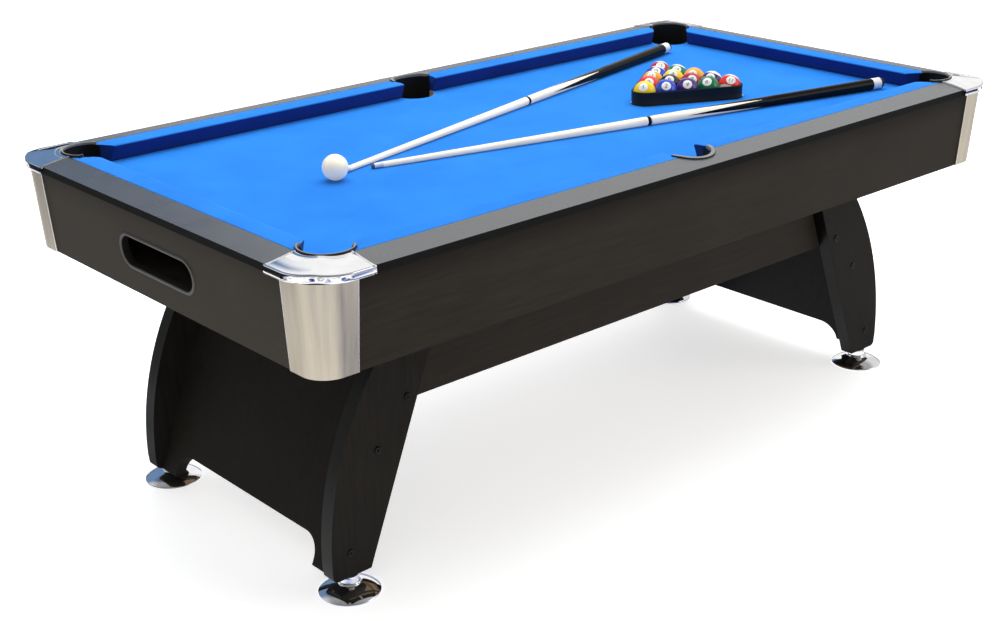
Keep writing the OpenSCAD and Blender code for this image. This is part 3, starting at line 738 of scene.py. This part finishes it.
# In mm, at the corner where X and Y are positive: the pocket's centre, the cap's skirt and its two
# straight ends
PX, PY = NOSE_X / MM, NOSE_Y / MM
SKIRT_X, SKIRT_Y = HALF_L / MM + CAP_OVER, HALF_W / MM + CAP_OVER
END_X, END_Y = HALF_L / MM - CAP_REACH, HALF_W / MM - CAP_REACH


def cap_edge(theta):
    """Distance from the pocket's centre to the cap's edge (mm), and whether it is the outer skirt."""
    dx, dy = cos(theta), sin(theta)
    r = CORNER_R / MM + CAP_OVER

    def outside(t):
        qx, qy = PX + dx * t - (SKIRT_X - r), PY + dy * t - (SKIRT_Y - r)
        return hypot(max(qx, 0), max(qy, 0)) + min(max(qx, qy), 0) - r

    near, far = 0, 400.0
    for _ in range(40):
        mid = (near + far) / 2
        near, far = (mid, far) if outside(mid) < 0 else (near, mid)
    best, skirt = near, True
    for slope, gap in ((dy, END_Y - PY), (dx, END_X - PX)):
        if slope < 0 and gap / slope < best:
            best, skirt = gap / slope, False
    return best, skirt


def cap_top(x, y):
    """Height of a cap's top over a place, which follows the rails' fall and blends round the mitre."""
    dx, dy = HALF_L / MM - x, HALF_W / MM - y
    soft = 10.0
    gap = dx - dy
    d = min(dx, dy) - max(soft - abs(gap), 0) ** 2 / (4 * soft)
    # a raised border and a groove run along the cap's two straight ends
    end = CAP_REACH - max(dx, dy)
    border = 0.6 * exp(-((end - 2.6) / 2.2) ** 2) - 0.5 * exp(-((end - 8) / 2) ** 2)
    return RAIL_Z / MM - RAIL_FALL / MM + CAP_T + d * RAIL_FALL / RAIL_W - 0.05 + border


def make_cap(corner):
    sx, sy = SIGNS[corner]
    steps, fine = 190, 0.003
    lo_t = -asin((PY - END_Y) / CAP_RIM)
    hi_t = pi / 2 + asin((PX - END_X) / CAP_RIM)
    angles = [lo_t + (hi_t - lo_t) * k / steps for k in range(steps + 1)]
    # a fine step across the two ends, where the edge turns sharply
    for t in (atan2(END_Y - PY, SKIRT_X - PX), atan2(SKIRT_Y - PY, END_X - PX)):
        angles += [t - fine, t, t + fine]
    # across the cap: distance from the rim or in from the edge, and height over the top
    inner = [(0, -3.2), (0, -0.7), (0.5, -0.1), (1.5, 0), (4, 0), (6.5, -0.5), (9, -0.7),
             (11.5, -0.45), (13.5, 0)]
    outer = [(5, 0), (2.6, -0.12), (1.5, -0.55), (0.7, -1.2), (0.2, -2.2), (0, -3.4)]
    down = [(0, -7), (0.05, -12), (0.15, -CAP_SKIRT + 0.9), (0.9, -CAP_SKIRT), (3.2, -CAP_SKIRT)]
    hem = [(0, -3.02), (0, -3.04), (0, -3.06), (0.3, -3.1), (0.6, -3.1)]
    rows = []
    for theta in sorted(angles):
        reach, skirt = cap_edge(theta)
        reach = max(reach, CAP_RIM + 0.4)
        squeeze = min((reach - CAP_RIM) / 24, 1)

        def place(r):
            return PX + cos(theta) * r, PY + sin(theta) * r

        start, stop = CAP_RIM + inner[-1][0] * squeeze, reach - outer[0][0] * squeeze
        line = [(CAP_RIM + off * squeeze, z) for off, z in inner]
        line += [(start + (stop - start) * k, 0) for k in (0.25, 0.5, 0.75)]
        line = [(r, cap_top(*place(r)) + z) for r, z in line]
        edge = [(off * squeeze, z) for off, z in outer]
        edge += down if skirt else [(off * squeeze, z) for off, z in hem]
        line += [(reach - off, cap_top(*place(reach)) + z) for off, z in edge]
        rows.append([(sx * place(r)[0] * MM, sy * place(r)[1] * MM, z * MM) for r, z in line])
    bm = bmesh.new()
    grid(bm, rows)
    node = f"corner_cap_{corner}"
    o = piece(node + "_shell", bm, [CHROME], 50, node)
    thicken(o, "shell", 1.4 * MM)


# ---- pocket liners
# Sections through a pocket's lip: distance outside the hole's edge, and height
CORNER_LIP = [(0, 799.8), (-0.1, 803.2), (0.3, 804.4), (1.3, 805.2), (2.9, 805.4), (4.2, 805), (5, 804.1),
              (5.3, 802.8), (5.3, 799.8)]
SIDE_LIP = [(0, 795), (-0.1, 801.6), (0.3, 802.3), (1.3, 802.7), (5, 802.8), (8.7, 802.7), (9.7, 802.2),
            (10, 801.4), (10, 799.4)]
LIP_DARK_FROM = 5


def make_pocket(name):
    cx, cy, face = POCKETS[name]
    ca, sa = cosd(face), sind(face)
    corner = "side" not in name
    # a side pocket's lip stops short of the half circle, by this angle
    lip, mouth, horn, short = (CORNER_LIP, 6, 2, 0) if corner else (SIDE_LIP, 0.5, 0, 8.5)
    lip_w = lip[-1][0]
    middle = POCKET + lip_w / 2
    arm_end = mouth - POCKET * sind(short)

    def world(u, v, z):
        return (cx + (u * ca - v * sa) * MM, cy + (u * sa + v * ca) * MM, z * MM)

    def path(rho, n_arm, n_arc, short=0.0):
        """Points at rho outside the slot's edge: an arm, the round end, an arm."""
        round_end = arc(0, 0, POCKET + rho, 270 - short, 90 + short, n_arc)
        u0, v0 = round_end[-1]
        arm = [u0 + mouth * k / n_arm for k in range(1, n_arm + 1)]
        return [(u, -v0) for u in reversed(arm)] + round_end + [(u, v0) for u in arm]

    n_arm, n_arc, taper = 8, 48, 9.0
    bm = bmesh.new()
    rows = []
    for k in range(n_arm * 2 + n_arc + 1):
        row = []
        for rho, z in lip:
            u, v = path(rho, n_arm, n_arc, short)[k]
            near_end = min(max(0, (u - (arm_end - taper)) / taper), 1)
            # the arms' ends swell, lean in over the mouth and turn up into small horns
            swell = 0.45 * sin(pi * near_end) - 0.35 * near_end ** 4
            if not corner:
                swell = -0.3 * near_end ** 3
            across = middle + (abs(v) - middle) * (1 + swell) - horn * 1.9 * near_end ** 2
            rise = horn * near_end ** 2 if z > 800 else 0
            x, y, lift = world(u, across if v > 0 else -across, z + rise)
            # a side pocket's lip follows the fall of the rail that it lies on
            fall = 0 if corner else max(abs(y) - (HALF_W - RAIL_W), 0) * RAIL_FALL / RAIL_W
            row.append((x, y, lift - fall))
        rows.append(row)
    made = grid(bm, rows, closed=True, mat=lambda i, j: 1 + (j >= LIP_DARK_FROM))
    for r in (made[0], made[-1]):
        bm.faces.new(r).material_index = 1
    # wall behind the mouth
    wall = [(0.05, 804 if corner else 796.4), (0.1, 796), (0.1, 742), (5.9, 742), (9.8, 742.5), (9.8, 759.6),
            (lip_w - 0.2, CUSHION_FOOT), (lip_w - 0.2, 799.7 if corner else 794)]
    grid(bm, [[world(u, v, z) for u, v in path(rho, 0, n_arc)] for rho, z in wall])
    # ears in front of the cushions' cut ends
    if corner:
        ear = 14
        outline = [(-2, 760.5), (ear - 3, 760.5), (ear - 0.5, 797), (ear - 1.5, 799.1), (-2, 799.1)]
        for s in (-1, 1):
            def on_jaw(u, v, w):
                return world(u, s * (POCKET - 0.1 - w / MM - end_lean(v)), v)

            plate(bm, outline, on_jaw, 1.2 * MM, bevel=0.3 * MM, segments=1)
    # tube under the bed
    foot = low(name)[2] / MM
    tube = [(0.1, 742.8), (0.1, foot + 1.5), (0.9, foot), (5.1, foot), (5.9, foot + 1.5), (5.9, 742.8)]
    grid(bm, [[world((POCKET + rho) * c, (POCKET + rho) * s, z) for c, s in circle(56)] for rho, z in tube],
         closed=True)
    piece(name + "_liner", bm, [BLACK, LIP_TOP, LIP_SIDE], 40, name)


# ---- legs
def leg_loop():
    """A leg's outline: X and height (mm)."""
    x1, r, cz = 921, 690, 90.0
    z0, z1 = LEG_FOOT, 590.0
    toe_x, toe_r = 907.5, 12

    def inner(z):
        return 690 + (381 - z) * 0.39

    top = degrees(asin((z1 - cz) / r))
    return [
        (inner(z0), z0), (toe_x, z0), *arc(toe_x, z0 + toe_r, toe_r, -75, -15, 4),
        *arc(x1 - r, cz, r, -1.5, top, 40), (inner(z1), z1),
    ]


def make_leg(corner):
    sx, sy = SIGNS[corner]
    inner_y, n = (LEG_Y - LEG_T) * MM, 32
    bm = bmesh.new()
    plate(bm, leg_loop(), lambda u, v, w: (sx * u * MM, sy * (inner_y + w), v * MM), LEG_T * MM,
          bevel=1.2 * MM, segments=2, side_mat=1)
    # the bore that the leveller's insert and stud go up
    for f in bm.faces:
        f.normal_update()
    end = max((f for f in bm.faces if abs(f.normal.z) > 0.99 and f.calc_center_median().z < 45 * MM),
              key=lambda f: f.calc_area())
    edges = list(end.edges)
    bmesh.ops.delete(bm, geom=[end], context="FACES_ONLY")
    bore = [(9.05, LEG_FOOT), (9.05, 82.5), (7, 82.5), (7, 93), (0.01, 93)]
    mouth = lathe(bm, bore, n, sx * FOOT_X, sy * FOOT_Y)[0]
    edges += [bm.edges.get((mouth[k - 1], mouth[k])) for k in range(n)]
    bmesh.ops.triangle_fill(bm, use_beauty=True, edges=edges)
    for f in bm.faces:
        f.normal_update()
        f.material_index = 0 if abs(f.normal.y) > 0.9 else 1
    piece(f"leg_{corner}_panel", bm, [LAM_Z, LAM_EDGE], 35, f"leg_{corner}", flats=True)


BOLTS = [(713, 400), (794, 305), (874, 98)]
# A bolt's head: radius, and height over the leg. The first rings are its hexagonal socket
BOLT_HEAD = [(0.01, -1.2), (2, -1.2), (2.6, -1.2), (2.7, 1.9), (3.4, 2.4), (5.5, 2.6), (7.4, 2.2),
             (8.5, 1.2), (8.9, 0.1)]
SOCKET_RINGS = 4


def make_bolts():
    bm = bmesh.new()
    n, half_side = 36, pi / 6
    for sx, sy in SIGNS.values():
        for bx, bz in BOLTS:
            rows = []
            for i, (r, y) in enumerate(BOLT_HEAD):
                row = []
                for k in range(n):
                    a, rr = 2 * pi * k / n, r
                    if i < SOCKET_RINGS:
                        rr *= cos(half_side) / cos(a % (2 * half_side) - half_side)
                    x, z = bx + rr * cos(a), bz + rr * sin(a)
                    row.append((sx * x * MM, sy * (LEG_Y + y) * MM, z * MM))
                rows.append(row)
            bm.faces.new(grid(bm, rows, closed=True)[0])
    piece("leg_bolt_heads", bm, [STEEL], 30, "leg_bolts")


LEVELLER = [
    (0.01, 1), (58, 1), (62, 0.05), (65.4, 0.05), (66.2, 0.7), (66.5, 1.6), (66.3, 3), (65.4, 4),
    (64, 5), (60, 7.9), (54, 11.4), (46, 14.9), (38, 17.5), (31, 19.2), (26.5, 20.1), (24.6, 20.9),
    (23.7, 22.2), (23.2, 24), (22.4, 25.4), (21.3, 26), (20.9, 27), (21, 34), (21, 39.8), (20.4, 41),
    (19.2, 41.6), (7.5, 41.6), (6, 41.9),
]


def make_leveller(corner):
    sx, sy = SIGNS[corner]
    # threaded stud inside the leg
    core, crest, pitch, z, z1 = 5.3, 5.95, 1.75, 42.2, 91.5
    stud = []
    while z < z1:
        stud += [(core, z), (crest, z + pitch * 0.5)]
        z += pitch
    stud += [(core, z1), (0.01, z1 + 0.4)]
    bm = bmesh.new()
    lathe(bm, LEVELLER, 96, sx * FOOT_X, sy * FOOT_Y)
    lathe(bm, stud, 24, sx * FOOT_X, sy * FOOT_Y)
    node = f"leveller_{corner}"
    piece(node + "_foot", bm, [CHROME], 35, node, node + "_body")


# ---- ball return
def make_bezel():
    length, height, centre_z = 288, 80, 677 * MM
    tilt = atan(APRON_LEAN)
    face_x = apron_face(centre_z) - HALF_L

    def stadium(l, h):
        half = arc((l - h) / 2, 0, h / 2, -90, 90, 20)
        return half + [(-x, -y) for x, y in half]

    rows = []
    for grow, out in [(-15, -15), (-15, 0.5), (-14.4, 1.7), (-12.5, 2.4), (-8, 2.5), (-3, 2.3), (-0.8, 1.5),
                      (0, 0.2)]:
        rows.append([
            (face_x - out * MM * cos(tilt) - y * MM * sin(tilt), x * MM,
             centre_z + y * MM * cos(tilt) - out * MM * sin(tilt))
            for x, y in stadium(length + grow, height + grow)
        ])
    bm = bmesh.new()
    grid(bm, rows, closed=True, mat=lambda i, j: int(i == 0))
    piece("return_trim", bm, [TRIM, BLACK], 40, "return_bezel")


# ---- rack
RACK_AT = (0.483, -0.0093)
RACK_TURN = radians(-26.7)
BALL_R = 28.575
BALL_PITCH = 57.45
BALL_Z = BED_Z / MM + 0.3 + BALL_R
RACK_SIDE = 4 * BALL_PITCH
CORNER_OUT = RACK_SIDE / sqrt(3)


def rack_world(u, v, z):
    c, s = cos(RACK_TURN), sin(RACK_TURN)
    return (RACK_AT[0] + (u * c - v * s) * MM, RACK_AT[1] + (u * s + v * c) * MM, z * MM)


def rounded_triangle(r):
    pts = []
    for a in (90, 210, 330):
        pts += arc(CORNER_OUT * cosd(a), CORNER_OUT * sind(a), r, a - 60, a + 60, 10)
    return pts


def make_rack():
    z0 = BED_Z / MM + 0.35
    inner_r, wall, h = BALL_R + 0.45, 4.5, 34.0
    section = [
        (0.8, 0), (wall - 0.8, 0), (wall, 0.8), (wall, 4), (wall - 0.5, 5), (wall - 0.5, h - 6),
        (wall, h - 5), (wall, h - 1.2), (wall - 1.2, h), (1.2, h), (0, h - 1.2), (0, 0.8),
    ]
    rows = [[rack_world(x, y, z0 + z) for x, y in rounded_triangle(inner_r + off)] for off, z in section]
    bm = bmesh.new()
    grid(bm, rows, close_rows=True, closed=True)
    # small bright glides let into the foot at each corner
    dome = [(0.01, 3), (1.6, 2.7), (2.8, 1.8), (3.4, 0.6), (3.4, -2)]
    for corner, turned in ((90, 90), (210, 172), (330, 330)):
        ca, sa = cosd(turned), sind(turned)
        gx = CORNER_OUT * cosd(corner) + (inner_r + wall) * ca
        gy = CORNER_OUT * sind(corner) + (inner_r + wall) * sa
        rows = [[rack_world(gx + out * ca - r * c * sa, gy + out * sa + r * c * ca, z0 + 3.8 + r * s)
                 for c, s in circle(20)] for r, out in dome]
        grid(bm, rows, closed=True, mat=1)
    piece("triangle_rack", bm, [BLACK, CHROME], 40, "rack", "rack_body")


# ---- balls
HUES = {
    "yellow": (1, 0.7, 0.008), "blue": (0.012, 0.06, 0.55), "red": (0.88, 0.028, 0.014),
    "purple": (0.06, 0.018, 0.18), "orange": (1, 0.42, 0.03), "green": (0.003, 0.2, 0.07),
    "maroon": (0.46, 0.014, 0.035), "black": grey(0.008),
}
RESINS = [resin(f"resin_{n}", c) for n, c in HUES.items()]
RACK_ROWS = [[1, 2, 4, 6, 11], [3, 8, 7, 12], [13, 9, 5], [10, 14], [15]]
LAST_SOLID = 8


def number_mesh(number):
    """The number's flat outline as triangles, centred, 1 unit tall."""
    curve = bpy.data.curves.new("number", "FONT")
    curve.body = str(number)
    curve.align_x = curve.align_y = "CENTER"
    curve.fill_mode = "FRONT"
    o = new_object("number", curve)
    bpy.context.view_layer.update()
    me = bpy.data.meshes.new_from_object(o.evaluated_get(bpy.context.evaluated_depsgraph_get()))
    bpy.data.objects.remove(o)
    bpy.data.curves.remove(curve)
    xs = [v.co.x for v in me.vertices]
    ys = [v.co.y for v in me.vertices]
    tall = max(ys) - min(ys)
    mid = Vector(((max(xs) + min(xs)) / 2, (max(ys) + min(ys)) / 2, 0))
    verts = [(v.co - mid) / tall for v in me.vertices]
    faces = [tuple(p.vertices) for p in me.polygons]
    bpy.data.meshes.remove(me)
    return verts, faces


def make_ball(number, centre, facing, roll):
    """facing is the direction of one number circle; roll turns the ball about it."""
    r = BALL_R * MM
    striped = number > LAST_SOLID
    spot = r * cosd(24.5)
    band = r * 0.50
    bm = bmesh.new()
    bmesh.ops.create_uvsphere(bm, u_segments=48, v_segments=32, radius=r)
    cuts = [(0, spot), (2, band)] if striped else [(0, spot)]
    for cut, held in cuts:
        normal = Vector((0, 0, 0))
        normal[cut] = 1
        for at in (normal * held, -normal * held):
            bmesh.ops.bisect_plane(bm, geom=bm.verts[:] + bm.edges[:] + bm.faces[:], plane_co=at,
                                   plane_no=normal)
    # points on a cut stay in its plane and go out to the ball's surface
    for v in bm.verts:
        on = [c for c in cuts if abs(abs(v.co[c[0]]) - c[1]) < 1e-6]
        if on:
            cut, held = on[-1]
            out = v.co.copy()
            out[cut] = 0
            out *= sqrt((r * r - held * held) / max(out.length_squared, 1e-12))
            out[cut] = v.co[cut]
            v.co = out
        else:
            v.co = v.co.normalized() * r
    for f in bm.faces:
        c = f.calc_center_median()
        white = abs(c.x) > spot * 0.9995 or (striped and abs(c.z) > band)
        f.material_index = 1 if white else 0
    verts, faces = number_mesh(number)
    tall = (11.0 if number < 10 else 9.5) * MM
    longest, ink = 1.6 * MM, 0.06 * MM
    for way in (1, -1):
        digits = bmesh.new()
        vs = [digits.verts.new((p.x * tall, p.y * tall, 0)) for p in verts]
        for f in faces:
            digits.faces.new([vs[k] for k in f])
        bmesh.ops.triangulate(digits, faces=digits.faces[:])
        for _ in range(3):
            long_edges = [e for e in digits.edges if e.calc_length() > longest]
            if long_edges:
                bmesh.ops.subdivide_edges(digits, edges=long_edges, cuts=1)
                bmesh.ops.triangulate(digits, faces=[f for f in digits.faces if len(f.verts) > 3])
        new = {}
        for v in digits.verts:
            p = Vector((r, v.co.x, v.co.y)).normalized() * (r + ink)
            new[v] = bm.verts.new((p.x * way, p.y * way, p.z))
        for f in digits.faces:
            corners = [new[v] for v in f.verts]
            if not bm.faces.get(corners):
                bm.faces.new(corners).material_index = 2
        digits.free()
    for f in bm.faces:
        f.normal_update()
        if f.normal.dot(f.calc_center_median()) < 0:
            f.normal_flip()
    o = to_object(f"ball_{number}", bm, [RESINS[(number - 1) % LAST_SOLID], WHITE_RESIN, INK])
    x_axis = Vector(facing).normalized()
    z_axis = Vector((0, 0, 1))
    z_axis = (z_axis - x_axis * z_axis.dot(x_axis)).normalized()
    z_axis = Matrix.Rotation(roll, 3, x_axis) @ z_axis
    y_axis = z_axis.cross(x_axis)
    o.data.transform(Matrix((x_axis, y_axis, z_axis)).transposed().to_4x4())
    o.location = centre
    return o


def make_balls():
    front = -CORNER_OUT / 2
    depth = BALL_PITCH * sind(60)
    camera = Vector(CAMERA_AT)
    for row, numbers in enumerate(RACK_ROWS):
        for place, number in enumerate(numbers):
            x, y, _ = rack_world((place + row / 2) * BALL_PITCH - RACK_SIDE / 2, front + row * depth, 0)
            at = Vector((x, y, BALL_Z * MM))
            # the number circles look up and roughly the way the table is seen from
            look = (camera - at).normalized()
            look = Vector((look.x, look.y, 0)).normalized()
            lift = radians(random.uniform(38, 52))
            sway = radians(random.uniform(-14, 14))
            look = Matrix.Rotation(sway, 3, "Z") @ look
            facing = look * cos(lift) + Vector((0, 0, sin(lift)))
            o = make_ball(number, at, facing, radians(random.uniform(-30, 30)))
            node = "solid_balls" if number <= LAST_SOLID else "striped_balls"
            stands_for(o, node, "racked_balls")


# ---- cues
# Where each cue's tip lies, and the way that it points (degrees)
CUES = {
    "cue_1": ((-577, 14), 13.2),
    "cue_2": ((-503, 1), -13.58),
}
CUE_L, TIP_R, BUTT_R = 1448, 6, 15.0
CUE_MATS = {"maple": 0, "ferrule": 3, "tip": 4, "ring": 2, "black": 2, "cap": 3, "bumper": 5}
# Columns round a cue in each quarter: a black point with a veneer edge, and maple between
BLACK_STEPS, MAPLE_STEPS = 4, 5
QUARTER = BLACK_STEPS + MAPLE_STEPS + 2


def cue_frame(name):
    (x, y), turn = CUES[name]
    rise = asin((BUTT_R - TIP_R) / CUE_L)
    along = Vector((cosd(turn) * cos(rise), sind(turn) * cos(rise), sin(rise)))
    across = Vector((-sind(turn), cosd(turn), 0))
    at = Vector((x, y, BED_Z / MM + 0.32 + TIP_R))
    return at, along, across, along.cross(across)


def cue_radius(s):
    return TIP_R + (BUTT_R - TIP_R) * s / CUE_L


def on_taper(s, zone, proud=0.0, *splice):
    """A station at distance s from the tip: its radius, its zone and the angles of the splice."""
    return (s, cue_radius(s) + proud, zone, *splice)


def cue_columns(black=0.08, veneer=0.03):
    """Angles of the columns; black and veneer are angles too."""
    angles = []
    for q in range(4):
        base = q * pi / 2
        rest = pi / 2 - 2 * (black + veneer)
        angles += [base - black - veneer, base - black]
        angles += [base - black + 2 * black * k / BLACK_STEPS for k in range(1, BLACK_STEPS)]
        angles += [base + black, base + black + veneer]
        angles += [base + black + veneer + rest * k / MAPLE_STEPS for k in range(1, MAPLE_STEPS)]
    return angles


def column_kind(j):
    """0 maple, 1 veneer, 2 black."""
    j %= QUARTER
    return 1 if j in (0, BLACK_STEPS + 1) else 2 if j <= BLACK_STEPS else 0


def pick(zone, j):
    return column_kind(j) if zone == "splice" else CUE_MATS[zone]


def make_cue(name):
    at, along, across, up = cue_frame(name)
    turn = radians(CUES[name][1])
    # Painted light: a faint warm glow lightens the maple, most of all on the shaft's shaded underside
    maple = wood(name + "_maple", (0.84, 0.76, 0.59), (0.97, 0.9, 0.75), turn,
                 Emission_Color=(1, 0.84, 0.55, 1), Emission_Strength=0.22)
    veneer = wood(name + "_veneer", (0.12, 0.05, 0.02), (0.24, 0.11, 0.05), turn)
    mats = [maple, veneer, LACQUER, WHITE_RESIN, LEATHER, RUBBER]

    def ring(s, r, *splice):
        centre = at + along * s
        return [(centre + across * (r * cos(a)) + up * (r * sin(a))) * MM
                for a in cue_columns(*splice)]

    def build(stations, node):
        bm = bmesh.new()
        rows = [ring(s, r, *more) for s, r, _, *more in stations]
        made = grid(bm, rows, closed=True, mat=lambda i, j: pick(stations[i][2], j))
        bm.faces.new(made[0]).material_index = pick(stations[0][2], 0)
        bm.faces.new(made[-1]).material_index = pick(stations[-2][2], 0)
        piece(node + "_turned", bm, mats, 40, node, name)

    half = CUE_L / 2
    shaft = [
        (0, 1, "tip"), (0.6, 3.2, "tip"), (1.8, 4.9, "tip"), (4, 5.9, "tip"), (6.5, 6, "ferrule"),
        (7, 6.02, "ferrule"), *(on_taper(28 + k * (half - 32) / 12, "maple") for k in range(12)),
    ]
    joint = cue_radius(half)
    shaft += [
        (half - 4.2, joint, "maple"), (half - 4, joint + 0.1, "ring"), (half - 0.25, joint + 0.1, "ring"),
        (half - 0.2, joint - 0.5, "ring"),
    ]
    build(shaft, name + "_shaft")

    # the points start at point, and the butt is black all round from solid
    point, solid, end = half + 108, half + 330, CUE_L - 38
    thin, top, n = 0.004, pi / 4 - 0.024, 18
    collar = cue_radius(half + 5)
    butt = [
        (half, joint - 0.5, "ring"), (half + 0.1, joint + 0.1, "ring"), (half + 5, collar + 0.1, "ring"),
        (half + 5.2, collar - 0.1, "ferrule"), on_taper(half + 8, "ferrule", -0.1),
        (half + 8.2, cue_radius(half + 8), "maple"), on_taper(point - 1, "maple", 0, thin, thin),
        on_taper(point, "splice", 0, thin, thin),
    ]
    for k in range(1, n + 1):
        f = k / n
        veneer_w = thin + 0.10 * min(f * 2, 1) * (1 - f)
        butt.append(on_taper(point + (solid - point) * f, "splice", 0, thin + (top - thin) * f, veneer_w))
    butt.append(on_taper(solid + 1, "black", 0, top, thin))
    for k in range(1, 9):
        s = solid + (end - 40 - solid) * k / 8
        butt.append((s + 2, cue_radius(s), "black"))
    butt += [
        on_taper(end, "black"), (end + 0.3, cue_radius(end) + 0.02, "cap"), on_taper(CUE_L - 12, "cap"),
        (CUE_L - 11.5, 14.4, "cap"), (CUE_L - 11, 13.2, "bumper"),
        (CUE_L - 4, 12.8, "bumper"), (CUE_L - 1.2, 11.6, "bumper"), (CUE_L - 0.3, 9, "bumper"),
        (CUE_L - 0.2, 3, "bumper"),
    ]
    build(butt, name + "_butt")


# ---- everything
make_bed_cloth()
make_cushions()
for which in ("head", "foot", "left", "right"):
    make_rail(which)
for which in SIGNS:
    for make in (make_wrap, make_cap, make_leg, make_leveller):
        make(which)
for which in POCKETS:
    make_pocket(which)
make_bolts()
make_bezel()
make_rack()
make_balls()
for which in CUES:
    make_cue(which)

for finish, soft, which in (
    (BOARD, 0, ("bed_board",)),
    (BOARD, 0.8, ("bed_supports", "corner_blocks")),
    (LAM_X_SHADED, 1.2, ("apron_left", "apron_right")),
    (LAM_Y_LIT, 1.2, ("apron_head", "apron_foot")),
    (LAM_X_SHADED, 1, ("stretcher_left", "stretcher_right")),
    (LAM_Z, 1, ("leg_panel_head", "leg_panel_foot")),
    (BLACK, 0, ("gutter_left", "gutter_right", "return_tray")),
    (BRASS, 0, ("leveller_inserts",)),
    (IVORY, 0, ("cue_ball",)),
):
    for node in which:
        dress(node, finish, soft * MM)
